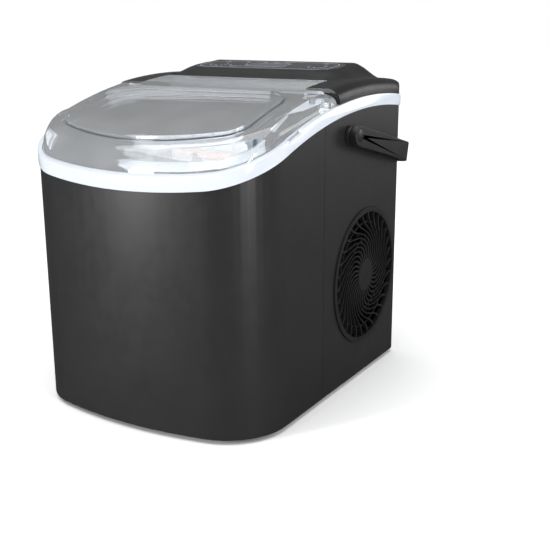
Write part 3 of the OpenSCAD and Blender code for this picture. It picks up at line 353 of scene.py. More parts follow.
class Finish(Enum):
    """Every finish of the machine."""

    # ABS against spark-eroded steel: dark, with a broad soft highlight
    HOUSING = MouldedPlastic(
        "abs_spark_eroded_black", "#242425", "#212122", (0.32, 0.38), 1.0, 0.03, gloss=0.42
    )
    # ABS against finer eroded steel: a finer grain than the housing's, and a deeper black
    COVER = MouldedPlastic(
        "abs_satin_black", "#1d1d1e", "#1a1a1b", (0.32, 0.38), 0.8, 0.02, gloss=0.36
    )
    # ABS against polished steel: cool white with a smooth skin, just dull enough not to burn out
    BAND = MouldedPlastic("abs_polished_white", "#c8cdd5", "#c4cad2", (0.14, 0.2), 6.0, 0.02, 1.53, 0.2)
    # Unpainted structural plastic: dull and uneven
    STRUCTURE = MouldedPlastic("pp_structural_black", "#202123", "#191a1b", (0.5, 0.62), 1.4, 0.04)
    # Glass-filled nylon fan parts: dull and very dark
    FAN_BLACK = MouldedPlastic(
        "pa_fan_black", "#0a0a0b", "#08080a", (0.6, 0.7), 1.2, 0.03, gloss=0.15
    )
    # Polypropylene liner: pale grey, waxy
    LINER = MouldedPlastic("pp_liner_grey", "#b2b9bf", "#aab1b8", (0.28, 0.38), 2.2, 0.02)
    # Food-grade polypropylene: near white, waxy
    FOOD_WHITE = MouldedPlastic("pp_food_white", "#eef3f7", "#e6edf2", (0.3, 0.4), 1.8, 0.02)
    # Printed polyester on the panel: smooth charcoal with a slight sheen
    SHEET = MouldedPlastic("pet_printed_sheet", "#3d3f42", "#393b3e", (0.26, 0.32), 0.7, 0.008)
    # Smoked display lens: dark, blue and glossy
    LENS = MouldedPlastic("pmma_smoked_lens", "#5c636e", "#545b66", (0.06, 0.1), 5.0, 0.004, 1.49, 0.6)
    # Screen-printed ink: flat pale grey
    INK = MouldedPlastic("screen_ink_pale", "#b9bdc3", "#afb4ba", (0.5, 0.6), 0.6, 0.01)
    # Moulded rubber: matte and slightly dusty
    RUBBER = MouldedPlastic("nitrile_rubber_black", "#161616", "#1e1e1e", (0.62, 0.75), 1.2, 0.05)
    # Silicone hose: milky and waxy
    SILICONE = MouldedPlastic("silicone_hose_milky", "#d3cfc4", "#c9c5ba", (0.4, 0.5), 3.0, 0.02)
    # Foamed float: amber and pitted
    FLOAT = MouldedPlastic("foamed_float_amber", "#d98b3f", "#c97a31", (0.6, 0.7), 1.1, 0.08)
    # PBT motor and pump cases: cream, slightly mottled
    CASE = MouldedPlastic("pbt_case_cream", "#cfcdc0", "#c4c2b4", (0.4, 0.5), 1.3, 0.03)
    # Stoving enamel on pressed steel: black and glossy, with a slight orange peel
    ENAMEL = MouldedPlastic(
        "stoving_enamel_black", "#17181a", "#1b1c1e", (0.22, 0.3), 4.0, 0.03, 1.5, 0.3
    )
    # Smoke-tinted SAN lid: pale grey haze under a polished skin
    SMOKE = ClearPlastic(
        "san_smoke_clear", "#f5f7f9", "#eceff2", (0.23, 0.26), flow_depth_mm=0.02
    )
    # Painted shade: a dark glossy line round the window's foot, standing in for the dark edge that the
    # window's wall shows through the smoke plastic
    BOND = MouldedPlastic(
        "san_painted_edge_shade", "#565b61", "#50555b", (0.1, 0.16), 5.0, 0.005, 1.57, 0.3
    )
    # Frosted PP basket: bluish and cloudy
    FROST = ClearPlastic("pp_frosted_clear", "#e8f1fa", "#dbe8f5", (0.5, 0.6), 0.25, 1.5, 9.0, 0.08)
    # Polycarbonate sensor lenses: clear, with a slight bloom
    SENSOR = ClearPlastic("pc_sensor_clear", "#f4f8fb", "#eef4f8", (0.3, 0.4), 0.05)
    # Zinc-plated drawn steel: grey, with fine marks along one way
    STEEL = WorkedMetal("zinc_plated_steel", "#b6b9bc", "#a4a8ac")
    # Nickel-plated copper fingers: warm silver, nearly a mirror
    PLATED = WorkedMetal(
        "nickel_plated_copper", "#cfcfca", "#c2c2bc", (0.12, 0.2), (6.0, 6.0, 3.0)
    )
    # Drawn copper tube: orange, tarnished in patches
    COPPER = WorkedMetal(
        "drawn_copper_tube", "#c57b4c", "#a9633a", (0.2, 0.36), (8.0, 8.0, 8.0)
    )
    # Rolled aluminium fins: pale, with roll marks across
    FINS = WorkedMetal(
        "rolled_fin_aluminium", "#c5c8ca", "#b8bbbe", (0.3, 0.42), (8.0, 8.0, 0.6)
    )
    # Poured polyurethane foam
    FOAM = CellularFoam("pu_foam_buff", "#e3d7a9", "#d3c48e")
    # Glass-fibre board under green solder mask
    BOARD = CircuitBoard("fr4_solder_mask_green", "#1d6238", "#2c7d4b")


MADE: dict[Finish, Material] = {}


def material_of(finish: Finish) -> Material:
    """The finish's material, built once."""
    if finish not in MADE:
        MADE[finish] = finish.value.build()
    return MADE[finish]


def dress(obj: Object, finish: Finish) -> Object:
    """Gives an object one finish all over.

    Args:
        obj: The object.
        finish: The finish.

    Returns:
        The same object.
    """
    obj.data.materials.clear()
    obj.data.materials.append(material_of(finish))
    return obj


# ---------- modelling helpers ----------


def only(obj: Object) -> None:
    """Makes an object the only selected one, and the active one."""
    bpy.ops.object.select_all(action="DESELECT")
    obj.select_set(True)
    bpy.context.view_layer.objects.active = obj


def new_object(name: str, data: Any) -> Object:
    """Adds an object with this data to the scene."""
    made = bpy.data.objects.new(name, data)
    bpy.context.scene.collection.objects.link(made)
    return made


def body_of_node(node: str) -> str:
    """The CAD body that a node rides on."""
    for body, members in frame["record"]["behaviour"]["bodies"].items():
        if node in members:
            return body
    raise KeyError(node)


@dataclass(frozen=True)
class Rounding:
    """How a copied shell's edges are finished.

    A flat-sided shell keeps its triangles, because joined flats with many holes come out torn,
    and its large flats set the shading of their corners.
    """

    width_mm: float = 0.5
    segments: int = 2
    crease_deg: float = 35.0
    smooth_deg: float = SMOOTH_DEG
    flat_sided: bool = False


def modified(piece: Object, kind: str, **settings: Any) -> None:
    """Applies one modifier to an object.

    Args:
        piece: The object.
        kind: The modifier's type.
        **settings: Its properties.
    """
    only(piece)
    made = piece.modifiers.new(kind.lower(), kind)
    for key, value in settings.items():
        setattr(made, key, value)
    bpy.ops.object.modifier_apply(modifier=made.name)


def flatten_normals(piece: Object) -> None:
    """Lets the large flat faces set the shading of the corners they share with narrow ones."""
    modified(piece, "WEIGHTED_NORMAL", mode="FACE_AREA", weight=FLAT_WEIGHT, keep_sharp=True)


def smoothed(angle_deg: float = SMOOTH_DEG) -> None:
    """Shades the selected object smooth, apart from edges sharper than the angle."""
    bpy.ops.object.shade_smooth_by_angle(angle=math.radians(angle_deg))


def attached(piece: Object, finish: Finish, node: str) -> Object:
    """Gives a piece its finish, and the body of a CAD node.

    Args:
        piece: The piece.
        finish: Its finish.
        node: The CAD node whose body it shares.

    Returns:
        The same piece.
    """
    dress(piece, finish)
    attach(piece, body_of_node(node))
    return piece


def refined(node: str, finish: Finish, rounding: Rounding) -> Object:
    """Copies a CAD node's shell, welds it, rounds its edges and shades it smooth.

    Args:
        node: The CAD node that the piece stands for.
        finish: The piece's finish.
        rounding: How its edges are finished.

    Returns:
        The new piece, riding on the node's body.
    """
    source = frame["nodes"][node]
    piece = new_object(node + "_skin", source.data.copy())
    only(piece)
    if piece.data.has_custom_normals:
        bpy.ops.mesh.customdata_custom_splitnormals_clear()
    bpy.ops.object.mode_set(mode="EDIT")
    bpy.ops.mesh.select_all(action="SELECT")
    bpy.ops.mesh.remove_doubles(threshold=WELD_MM * MM)
    if not rounding.flat_sided:
        bpy.ops.mesh.dissolve_limited(angle_limit=math.radians(FLAT_DEG))
    bpy.ops.object.mode_set(mode="OBJECT")
    if rounding.width_mm > 0:
        modified(
            piece,
            "BEVEL",
            width=rounding.width_mm * MM,
            segments=rounding.segments,
            limit_method="ANGLE",
            angle_limit=math.radians(rounding.crease_deg),
            use_clamp_overlap=True,
            miter_outer="MITER_ARC",
        )
    smoothed(rounding.smooth_deg)
    if rounding.flat_sided:
        flatten_normals(piece)
    attached(piece, finish, node)
    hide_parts(node)
    log.info("%s: %d faces", piece.name, len(piece.data.polygons))
    return piece


def dressed(node: str, finish: Finish) -> None:
    """Gives a CAD node that stays its finish."""
    dress(frame["nodes"][node], finish)
    log.info("%s keeps its CAD shape", node)


def dressed_all(finishes: dict[Finish, tuple[str, ...]]) -> None:
    """Gives CAD nodes that stay their finishes.

    Args:
        finishes: The nodes of each finish.
    """
    for finish, nodes in finishes.items():
        for node in nodes:
            dressed(node, finish)


@dataclass(frozen=True)
class CrownArc:
    """The long arc, seen from the side, that the lid and the cover's shoulder follow."""

    radius_mm: float = 480.0
    crest_z_mm: float = 262.4
    crest_back_mm: float = 63.6

    @cached_property
    def crest_y(self) -> float:
        """Depth of the arc's highest point, in millimetres."""
        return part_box("top_cover")[1].y / MM - self.crest_back_mm

    def height(self, y: float) -> float:
        """Height of the arc at a depth, in millimetres."""
        over_centre = math.sqrt(self.radius_mm**2 - (y - self.crest_y) ** 2)
        return self.crest_z_mm - self.radius_mm + over_centre


def closed_mesh(name: str, lines: list[list[Vector]], faces: list[tuple[int, ...]]) -> Object:
    """Makes an object from rows of points and its faces, and turns the faces outward.

    Args:
        name: The object's name.
        lines: The rows of points, in metres.
        faces: The faces, as numbers of points counted through all rows.

    Returns:
        The object.
    """
    mesh = bpy.data.meshes.new(name)
    mesh.from_pydata([point for line in lines for point in line], [], faces)
    made = new_object(name, mesh)
    only(made)
    bpy.ops.object.mode_set(mode="EDIT")
    bpy.ops.mesh.select_all(action="SELECT")
    bpy.ops.mesh.normals_make_consistent(inside=False)
    bpy.ops.object.mode_set(mode="OBJECT")
    return made


def solid_from_rings(name: str, rings: list[list[Vector]]) -> Object:
    """Joins rings of equally many points into a closed solid with flat ends.

    Args:
        name: The object's name.
        rings: The rings, each a list of points in metres.

    Returns:
        The object, with its faces outward.
    """
    count = len(rings[0])
    faces = []
    for low in range(len(rings) - 1):
        for i in range(count):
            j = (i + 1) % count
            faces.append((low * count + i, low * count + j, (low + 1) * count + j, (low + 1) * count + i))
    faces.append(tuple(reversed(range(count))))
    faces.append(tuple(range((len(rings) - 1) * count, len(rings) * count)))
    return closed_mesh(name, rings, faces)


def closed_strip(name: str, lines: list[list[Vector]], finish: Finish, node: str) -> Object:
    """Makes a closed strip whose section's corners each run along one closed line.

    Args:
        name: The piece's name.
        lines: One closed line for each corner of the section, in metres.
        finish: The piece's finish.
        node: The CAD node whose body it shares.

    Returns:
        The piece.
    """
    count, sides = len(lines[0]), len(lines)
    faces = []
    for side in range(sides):
        low, high = side * count, (side + 1) % sides * count
        for i in range(count):
            j = (i + 1) % count
            faces.append((low + i, low + j, high + j, high + i))
    return attached(closed_mesh(name, lines, faces), finish, node)


def keep_inside(piece: Object, cutter: Object) -> None:
    """Cuts away what lies outside the cutter, and removes the cutter."""
    modified(piece, "BOOLEAN", operation="INTERSECT", solver="EXACT", object=cutter)
    bpy.data.objects.remove(cutter)


def rounded_box(
    half: Pair, centre: Pair, span: Pair, radius: float
) -> Object:
    """Makes an upright box with rounded upright edges, in millimetres.

    Args:
        half: Half its width and depth.
        centre: Its middle in plan.
        span: Its lowest and highest height.
        radius: The radius of its upright edges.

    Returns:
        The box.
    """
    bpy.ops.mesh.primitive_cube_add(size=1.0)
    box = bpy.context.object
    for vertex in box.data.vertices:
        x, y, z = vertex.co
        level = span[0] if z < 0 else span[1]
        vertex.co = Vector((centre[0] + 2 * half[0] * x, centre[1] + 2 * half[1] * y, level)) * MM
    weights = box.data.attributes.new("bevel_weight_edge", "FLOAT", "EDGE")
    for edge in box.data.edges:
        a, b = (box.data.vertices[i].co for i in edge.vertices)
        weights.data[edge.index].value = 1.0 if abs(a.z - b.z) > MM else 0.0
    modified(box, "BEVEL", limit_method="WEIGHT", width=radius * MM, segments=CORNER_STEPS)
    return box


# ---------- the machine ----------


@dataclass
class Housing:
    """The two shells of the body with the white band, the feet and the back's fittings."""

    edge: Rounding = Rounding(0.6, 2, flat_sided=True)
    band_edge: Rounding = Rounding(1.8, 3, 40.0, 50.0)

    def build(self) -> None:
        """Builds the shells and what is fixed to them."""
        refined("front_housing", Finish.HOUSING, self.edge)
        refined("rear_housing", Finish.HOUSING, self.edge)
        refined("trim_band", Finish.BAND, self.band_edge)
        refined("rubber_feet", Finish.RUBBER, Rounding(1.0, 2))
        refined("cord_gland", Finish.RUBBER, Rounding(0.8, 2))
        dressed("base_pan", Finish.STRUCTURE)
        dressed("housing_screws", Finish.STEEL)
        dressed("drain_spout", Finish.LINER)
        refined("drain_plug", Finish.RUBBER, Rounding(1.0, 2))


@dataclass
class TopCover:
    """The rear cover: its shoulder, the blended hump, the printed panel, the keys and the display."""

    arc: CrownArc = CrownArc()
    cutter_steps: int = 720
    cutter_lift_mm: float = 0.01
    cutter_width_mm: float = 400.0
    smooth_deg: float = 35.0
    # the panel on top of the hump, with the skirt that falls from it
    panel_half_mm: float = 71.5
    panel_corner_mm: float = 20.0
    panel_len_mm: float = 51.0
    panel_rise_mm: float = 4.2
    panel_front_z_mm: float = 268.49
    side_skirt_mm: float = 21.0
    front_skirt_mm: float = 15.0
    skirt_sink_mm: float = 0.5
    # how the hump and the shoulder roll over at the rear
    rear_r_mm: float = 23.0
    rear_lift_mm: float = 0.3
    edge_r_mm: float = 9.0
    shell_mm: float = 2.2
    step_mm: float = 1.3
    grid_margin_mm: float = 1.0
    back_play_mm: float = 0.02
    # the printed sheet in its recess
    sheet_half_mm: float = 74.3
    sheet_edge_mm: float = 2.3
    sheet_corner_mm: float = 18.0
    sheet_play_mm: float = 0.3
    sheet_span_mm: Pair = (240.0, 300.0)
    cut_play_mm: float = 0.01
    recess_mm: float = 1.0
    recess_share: float = 0.9
    # the pockets below the keys and the display
    key_xs_mm: tuple[float, ...] = (-52.0, -30.0, 52.0)
    key_along_mm: float = 22.95
    key_pocket_r_mm: float = 9.2
    key_pocket_mm: float = 7.4
    display_pocket_half_mm: float = 18.5
    display_pocket_along_mm: Pair = (16.5, 34.5)
    display_pocket_mm: float = 3.0
    # the printed outlines
    ink_mm: float = 0.12
    ink_foot_mm: float = 0.05
    line_mm: float = 0.5
    key_ring_r_mm: float = 8.6
    panel_middle_mm: float = 25.5
    display_ring_mm: Pair = (19.6, 10.6)
    display_ring_r_mm: float = 3.0
    panel_ring_mm: Pair = (68.5, 19.5)
    panel_ring_r_mm: float = 14.0
    mark_xs_mm: tuple[float, ...] = (-52.0, -30.0, -12.0, 0.0, 12.0, 52.0)
    mark_along_mm: float = 40.5
    mark_mm: Pair = (2.2, 0.7)
    mark_r_mm: float = 0.6
    # the skirt's profile: share of the way down, share of the height left
    skirt_down: tuple[float, ...] = (0.0, 0.1, 0.19, 0.38, 0.57, 0.76, 0.9, 1.0)
    skirt_left: tuple[float, ...] = (1.0, 0.985, 0.935, 0.77, 0.53, 0.25, 0.08, 0.0)

    def __post_init__(self) -> None:
        """Reads the places of the panel and the back from the frame."""
        self.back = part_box("top_cover")[1].y / MM
        self.tilt = math.atan2(self.panel_rise_mm, self.panel_len_mm)
        sheet_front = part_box("control_sheet")[0].y / MM
        self.front = sheet_front - self.sheet_edge_mm * math.cos(self.tilt)
        self.foot = self.front - self.front_skirt_mm

    def shoulder(self, y: float) -> float:
        """Height of the shoulder at a depth, in millimetres."""
        z = self.arc.height(y)
        over = y - (self.back - self.edge_r_mm)
        if over > 0:
            z -= self.edge_r_mm - math.sqrt(max(self.edge_r_mm**2 - over * over, 0.0))
        return z

    def panel(self, y: float) -> float:
        """Height of the panel's plane and its rounded rear, in millimetres."""
        plane = self.panel_front_z_mm + (y - self.front) * math.tan(self.tilt)
        over = max(0.0, y - (self.back - self.rear_r_mm))
        centre = self.panel_front_z_mm + self.panel_rise_mm + self.rear_lift_mm - self.rear_r_mm
        return min(plane, centre + math.sqrt(max(self.rear_r_mm**2 - over * over, 0.0)))

    def rise(self, t: float) -> float:
        """Share of the hump's height at a share t of the way down its skirt."""
        profile = list(zip(self.skirt_down, self.skirt_left))
        for (t0, f0), (t1, f1) in zip(profile, profile[1:]):
            if t <= t1:
                return f0 + (f1 - f0) * (t - t0) / (t1 - t0)
        return 0.0

    def under_sheet(self, x: float, along: float) -> bool:
        """Whether a point of the panel lies under the printed sheet with its rounded corners."""
        middle = self.panel_len_mm / 2
        u = abs(x) - (self.sheet_half_mm - self.sheet_corner_mm)
        v = abs(along - middle) - (middle - self.sheet_edge_mm - self.sheet_corner_mm)
        return math.hypot(max(u, 0.0), max(v, 0.0)) < self.sheet_corner_mm - self.sheet_play_mm

    def pocket(self, x: float, along: float) -> float:
        """Depth of the pockets for the keys and the display, below the sheet's recess."""
        up = along - self.key_along_mm
        if any(math.hypot(x - key, up) < self.key_pocket_r_mm for key in self.key_xs_mm):
            return self.key_pocket_mm
        low, high = self.display_pocket_along_mm
        if abs(x) < self.display_pocket_half_mm and low < along < high:
            return self.display_pocket_mm
        return 0.0

    def height(self, x: float, y: float) -> float:
        """Height of the hump's skin over a point of its plan, in millimetres.

        Args:
            x: Distance from the middle.
            y: Depth.

        Returns:
            The height.
        """
        u = max(abs(x) - (self.panel_half_mm - self.panel_corner_mm), 0.0)
        v = max(self.front + self.panel_corner_mm - y, 0.0)
        far = math.hypot(u, v)
        across = 1.0 if far < 1e-6 else (u / far) ** 2
        skirt = self.side_skirt_mm * across + self.front_skirt_mm * (1 - across)
        t = (far - self.panel_corner_mm) / skirt
        base = self.shoulder(y)
        if t >= 1:
            return base - self.skirt_sink_mm
        if t <= 0:
            share = 1.0
        else:
            share = self.rise(t) * across + (1 - t) * (1 - across)
        z = base + (self.panel(y) - base) * share
        along = (y - self.front) / math.cos(self.tilt)
        if share > self.recess_share and self.under_sheet(x, along):
            z -= self.recess_mm + self.pocket(x, along)
        return z

    def hump(self) -> None:
        """Models the hump's skin as a grid that is raised to its height and given a wall."""
        half = self.panel_half_mm + self.side_skirt_mm + self.grid_margin_mm
        depth = self.back - self.foot
        bpy.ops.mesh.primitive_grid_add(
            x_subdivisions=int(2 * half / self.step_mm), y_subdivisions=int(depth / self.step_mm), size=1.0
        )
        piece = bpy.context.object
        piece.name = "cover_hump"
        for vertex in piece.data.vertices:
            x = vertex.co.x * 2 * half
            y = self.foot + (vertex.co.y + 0.5) * (depth - self.back_play_mm)
            vertex.co = Vector((x, y, self.height(x, y))) * MM
        modified(piece, "SOLIDIFY", thickness=self.shell_mm * MM, offset=-1.0)
        smoothed()
        attached(piece, Finish.COVER, "top_cover")

    def shoulders(self) -> None:
        """Cuts the copied cover back to its shoulder, so that the blended hump can stand on it."""
        piece = refined("top_cover", Finish.COVER, Rounding(0.0))
        bpy.ops.mesh.primitive_cylinder_add(
            vertices=self.cutter_steps,
            radius=self.arc.radius_mm * MM,
            depth=self.cutter_width_mm * MM,
            location=(
                0,
                self.arc.crest_y * MM,
                (self.arc.crest_z_mm - self.arc.radius_mm + self.cutter_lift_mm) * MM,
            ),
            rotation=(0, math.pi / 2, 0),
        )
        keep_inside(piece, bpy.context.object)
        smoothed(self.smooth_deg)
        dress(piece, Finish.COVER)

    def sheet(self) -> None:
        """Rounds the printed sheet's corners."""
        piece = refined("control_sheet", Finish.SHEET, Rounding(0.2, 1))
        low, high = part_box("control_sheet")
        middle = (low.y + high.y) / 2 / MM
        half = (high.y - low.y) / 2 / MM
        outer = (self.sheet_half_mm + self.cut_play_mm, half + self.cut_play_mm)
        keep_inside(piece, rounded_box(outer, (0.0, middle), self.sheet_span_mm, self.sheet_corner_mm))
        dress(piece, Finish.SHEET)

    def on_sheet(self, x: float, along: float, lift: float) -> Vector:
        """A point above the printed sheet, in metres.

        Args:
            x: Distance from the middle.
            along: Distance up the slope from the panel's front edge.
            lift: Height above the panel's plane.

        Returns:
            The point.
        """
        back, up = math.cos(self.tilt), math.sin(self.tilt)
        z = self.panel_front_z_mm + along * up + lift * back
        return Vector((x, self.front + along * back - lift * up, z)) * MM

    def ring(self, name: str, centre: Pair, half: Pair, radius: float) -> None:
        """Prints a thin closed outline on the sheet, a rectangle with rounded corners.

        Args:
            name: The piece's name.
            centre: Its middle, across and up the slope.
            half: Half its width and length.
            radius: The radius of its corners.
        """
        outline = []
        for quarter, (sx, sy) in enumerate(((1, 1), (-1, 1), (-1, -1), (1, -1))):
            for step in range(RING_STEPS + 1):
                turn = math.radians(90 * quarter + 90 * step / RING_STEPS)
                corner = (centre[0] + sx * (half[0] - radius), centre[1] + sy * (half[1] - radius))
                outline.append((corner, math.cos(turn), math.sin(turn)))
        lines = []
        foot, top = -self.ink_foot_mm, self.ink_mm
        for inset, lift in ((0.0, foot), (0.0, top), (self.line_mm, top), (self.line_mm, foot)):
            reach = radius - inset
            lines.append([self.on_sheet(c[0] + reach * dx, c[1] + reach * dy, lift) for c, dx, dy in outline])
        closed_strip(name, lines, Finish.INK, "control_sheet")

    def inlays(self) -> None:
        """Prints the outlines round the keys and the display, and the row of light marks."""
        for place, x in zip(("power", "size", "timer"), self.key_xs_mm):
            radius = self.key_ring_r_mm
            self.ring(f"{place}_outline", (x, self.key_along_mm), (radius, radius), radius)
        middle = (0.0, self.panel_middle_mm)
        self.ring("display_outline", middle, self.display_ring_mm, self.display_ring_r_mm)
        self.ring("panel_outline", middle, self.panel_ring_mm, self.panel_ring_r_mm)
        for index, x in enumerate(self.mark_xs_mm):
            self.ring(f"light_mark_{index + 1}", (x, self.mark_along_mm), self.mark_mm, self.mark_r_mm)

    def build(self) -> None:
        """Builds the cover, the printed sheet, the keys and the display."""
        self.shoulders()
        self.hump()
        self.sheet()
        self.inlays()
        refined("display_window", Finish.LENS, Rounding(0.2, 1))
        for node in ("power_key", "size_key", "timer_key"):
            refined(node, Finish.SHEET, Rounding(0.3, 2))
        dressed("display_board", Finish.BOARD)


def bow_shape(half: float, front: float, bow: float, corner: float) -> tuple[float, float, float, float]:
    """Works out a plan whose bowed front runs into rounded corners, in millimetres.

    Args:
        half: Half its width.
        front: Depth of its foremost point.
        bow: Radius of its front.
        corner: Radius of its front corners.

    Returns:
        How far out the corners' centres are, the depth of the bow's centre, the depth of the
        corners' centres, and half the angle of the bow.
    """
    reach = bow - corner
    corner_x = half - corner
    centre_y = front + bow
    return corner_x, centre_y, centre_y - math.sqrt(reach**2 - corner_x**2), math.asin(corner_x / reach)


@dataclass
class Lid:
    """The see-through lid: its frame, the raised window and the hinge pins."""

    arc: CrownArc = CrownArc()
    # the lid's plan, and how its wall rolls over into its top
    bow_mm: float = 328.1
    corner_mm: float = 48.1
    front_round_mm: float = 16.0
    side_round_mm: float = 9.2
    roll_turn: Pair = (0.1, 0.75)
    slack_mm: float = 0.02
    reach_mm: float = 185.0
    floor_mm: float = 150.0
    ceiling_mm: float = 350.0
    bow_steps: int = 30
    # the raised window's plan and the painted shade line round its foot
    window_bow_mm: float = 205.0
    window_front_corner_mm: float = 20.0
    window_rear_corner_mm: float = 24.0
    window_bow_steps: int = 40
    window_corner_steps: int = 14
    seam_turn: float = 0.02
    shade_line_out_mm: Pair = (0.02, 0.3)
    shade_line_lift_mm: Pair = (0.05, 1.3)
    window_edge_mm: float = 0.8

    def outline(self) -> Outline:
        """The lid's plan from one rear end round the bowed front to the other.

        Returns:
            Points and their outward directions, in millimetres.
        """
        low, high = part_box("lid_frame")
        half, front = high.x / MM + self.slack_mm, low.y / MM - self.slack_mm
        corner_x, centre_y, corner_y, turn = bow_shape(half, front, self.bow_mm, self.corner_mm)
        line: Outline = []

        def add(side: int, x: float, y: float, way: Vector, radius: float) -> None:
            """Adds a point at the right end of the line, or at its left end."""
            line.insert(len(line) if side > 0 else 0, (Vector((x, y, 0.0)) + way * radius, way))

        for step in range(-self.bow_steps, self.bow_steps + 1):
            angle = turn * step / self.bow_steps
            add(1, 0.0, centre_y, Vector((math.sin(angle), -math.cos(angle), 0.0)), self.bow_mm)
        for step in range(1, self.bow_steps + 1):
            angle = turn + (math.pi / 2 - turn) * step / self.bow_steps
            for side in (1, -1):
                way = Vector((side * math.sin(angle), -math.cos(angle), 0.0))
                add(side, side * corner_x, corner_y, way, self.corner_mm)
        for side in (1, -1):
            add(side, side * half, front + self.reach_mm, Vector((side, 0.0, 0.0)), 0.0)
        return line

    def roll_radius(self, way: Vector) -> float:
        """Radius of the roll where the wall faces this way: large in front, small at the sides."""
        start, full = self.roll_turn
        ahead = min(max((-way.y - start) / (full - start), 0.0), 1.0)
        ahead = ahead * ahead * (3 - 2 * ahead)
        return self.side_round_mm + (self.front_round_mm - self.side_round_mm) * ahead

    def rounder(self) -> Object:
        """Makes the solid whose rim rolls over from the lid's wall into its top."""
        line = self.outline()
        rings = [[Vector((p.x, p.y, self.floor_mm)) * MM for p, _ in line]]
        for step in range(CORNER_STEPS + 1):
            roll = math.pi / 2 * step / CORNER_STEPS
            ring = []
            for point, way in line:
                radius = self.roll_radius(way)
                at = point - way * radius * (1 - math.cos(roll))
                z = self.arc.height(at.y) + self.slack_mm - radius * (1 - math.sin(roll))
                ring.append(Vector((at.x, at.y, z)) * MM)
            rings.append(ring)
        rings.append([Vector((p.x, p.y, self.ceiling_mm * MM)) for p in rings[-1]])
        return solid_from_rings("lid_rounder", rings)

    def window_outline(self) -> Outline:
        """The raised window's plan, as points with their outward directions, in millimetres."""
        low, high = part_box("lid_window")
        half, front, back = high.x / MM, low.y / MM, high.y / MM
        front_r, rear = self.window_front_corner_mm, self.window_rear_corner_mm
        corner_x, centre_y, corner_y, turn = bow_shape(half, front, self.window_bow_mm, front_r)
        line = []

        def sweep(x: float, y: float, radius: float, first: float, last: float, steps: int) -> None:
            """Adds an arc of steps from the first to the last angle."""
            for step in range(steps + 1):
                angle = first + (last - first) * step / steps
                way = Vector((math.cos(angle), math.sin(angle), 0.0))
                line.append((Vector((x, y, 0.0)) + way * radius, way))

        quarter, steps = math.pi / 2, self.window_corner_steps
        seam = turn + self.seam_turn
        sweep(0.0, centre_y, self.window_bow_mm, -quarter - turn, -quarter + turn, self.window_bow_steps)
        sweep(corner_x, corner_y, front_r, -quarter + seam, 0.0, steps)
        sweep(half - rear, back - rear, rear, 0.0, quarter, steps)
        sweep(rear - half, back - rear, rear, quarter, 2 * quarter, steps)
        sweep(-corner_x, corner_y, front_r, 2 * quarter, 3 * quarter - seam, steps)
        return line

    def window_edge(self) -> None:
        """Lays the painted shade line, a dark strip, round the foot of the window's wall."""
        lines = []
        (near, far), (foot, top) = self.shade_line_out_mm, self.shade_line_lift_mm
        for out, lift in ((near, foot), (far, foot), (far, top), (near, top)):
            line = []
            for point, way in self.window_outline():
                at = point + way * out
                line.append(Vector((at.x, at.y, self.arc.height(at.y) + lift)) * MM)
            lines.append(line)
        # painted shade: a dark strip stands in for the dark edge of the window's wall
        piece = closed_strip("window_painted_shade_line", lines, Finish.BOND, "lid_window")
        only(piece)
        smoothed()

    def build(self) -> None:
        """Builds the lid's pieces."""
        self.window_edge()
        shell = refined("lid_frame", Finish.SMOKE, Rounding(0.0))
        keep_inside(shell, self.rounder())
        only(shell)
        smoothed()
        dress(shell, Finish.SMOKE)
        refined("lid_window", Finish.SMOKE, Rounding(self.window_edge_mm, 3))
        dressed("lid_hinge_pins", Finish.STEEL)


@dataclass
class CarryHandle:
    """The U-shaped strap, its bushes and the caps over its pivot pins."""

    pivot_mm: Pair = (22.239, 220.0)
    cap_r_mm: float = 5.4
    cap_mm: float = 0.9
    cap_edge_mm: float = 0.2
    cap_edge_steps: int = 2
    cap_steps: int = 64
    proud_mm: float = 0.25

    def cap(self, side: int) -> None:
        """Closes the strap's bore with a flat cap.

        Args:
            side: 1 for the right strap, -1 for the left.
        """
        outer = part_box("handle")[1].x / MM + self.proud_mm
        bpy.ops.mesh.primitive_cylinder_add(
            vertices=self.cap_steps, radius=self.cap_r_mm * MM, depth=self.cap_mm * MM
        )
        piece = bpy.context.object
        piece.name = "pivot_cap_" + ("right" if side > 0 else "left")
        turn = Matrix.Rotation(math.pi / 2, 4, "Y")
        shift = Vector((side * (outer - self.cap_mm / 2), *self.pivot_mm)) * MM
        piece.data.transform(Matrix.Translation(shift) @ turn)
        modified(piece, "BEVEL", width=self.cap_edge_mm * MM, segments=self.cap_edge_steps)
        smoothed()
        attached(piece, Finish.COVER, "handle")

    def build(self) -> None:
        """Builds the strap, the bushes and the caps."""
        self.cap(1)
        self.cap(-1)
        refined("handle", Finish.COVER, Rounding(1.4, 3, flat_sided=True))
        refined("handle_bushes", Finish.HOUSING, Rounding(0.6, 2))


@dataclass
class AirSide:
    """The round fan grille, the fan behind it, and the intake grille on the far side."""

    def build(self) -> None:
        """Builds the grilles, the shroud, the fan and the condenser."""
        refined("fan_grille", Finish.COVER, Rounding(0.0))
        refined("intake_grille", Finish.COVER, Rounding(0.4, 2, flat_sided=True))
        for node in ("fan_shroud", "fan_motor", "fan_impeller"):
            dressed(node, Finish.FAN_BLACK)
        dressed("condenser_fins", Finish.FINS)
        dressed("condenser_tube", Finish.COPPER)


@dataclass
class IceBay:
    """The liner, the guard behind it, the sensors, the float and the loose basket and scoop."""

    def build(self) -> None:
        """Builds what shows through the lid."""
        refined("tub_liner", Finish.LINER, Rounding(0.8, 2))
        refined("splash_guard", Finish.LINER, Rounding(0.4, 2))
        dressed("ice_level_sensors", Finish.SENSOR)
        dressed("foam_insulation", Finish.FOAM)
        dressed("float_stem", Finish.FOOD_WHITE)
        dressed("float_ring", Finish.FLOAT)
        refined("ice_basket", Finish.FROST, Rounding(0.5, 2))
        refined("basket_bail", Finish.FROST, Rounding(0.6, 2))
        refined("ice_scoop", Finish.FOOD_WHITE, Rounding(0.8, 2))


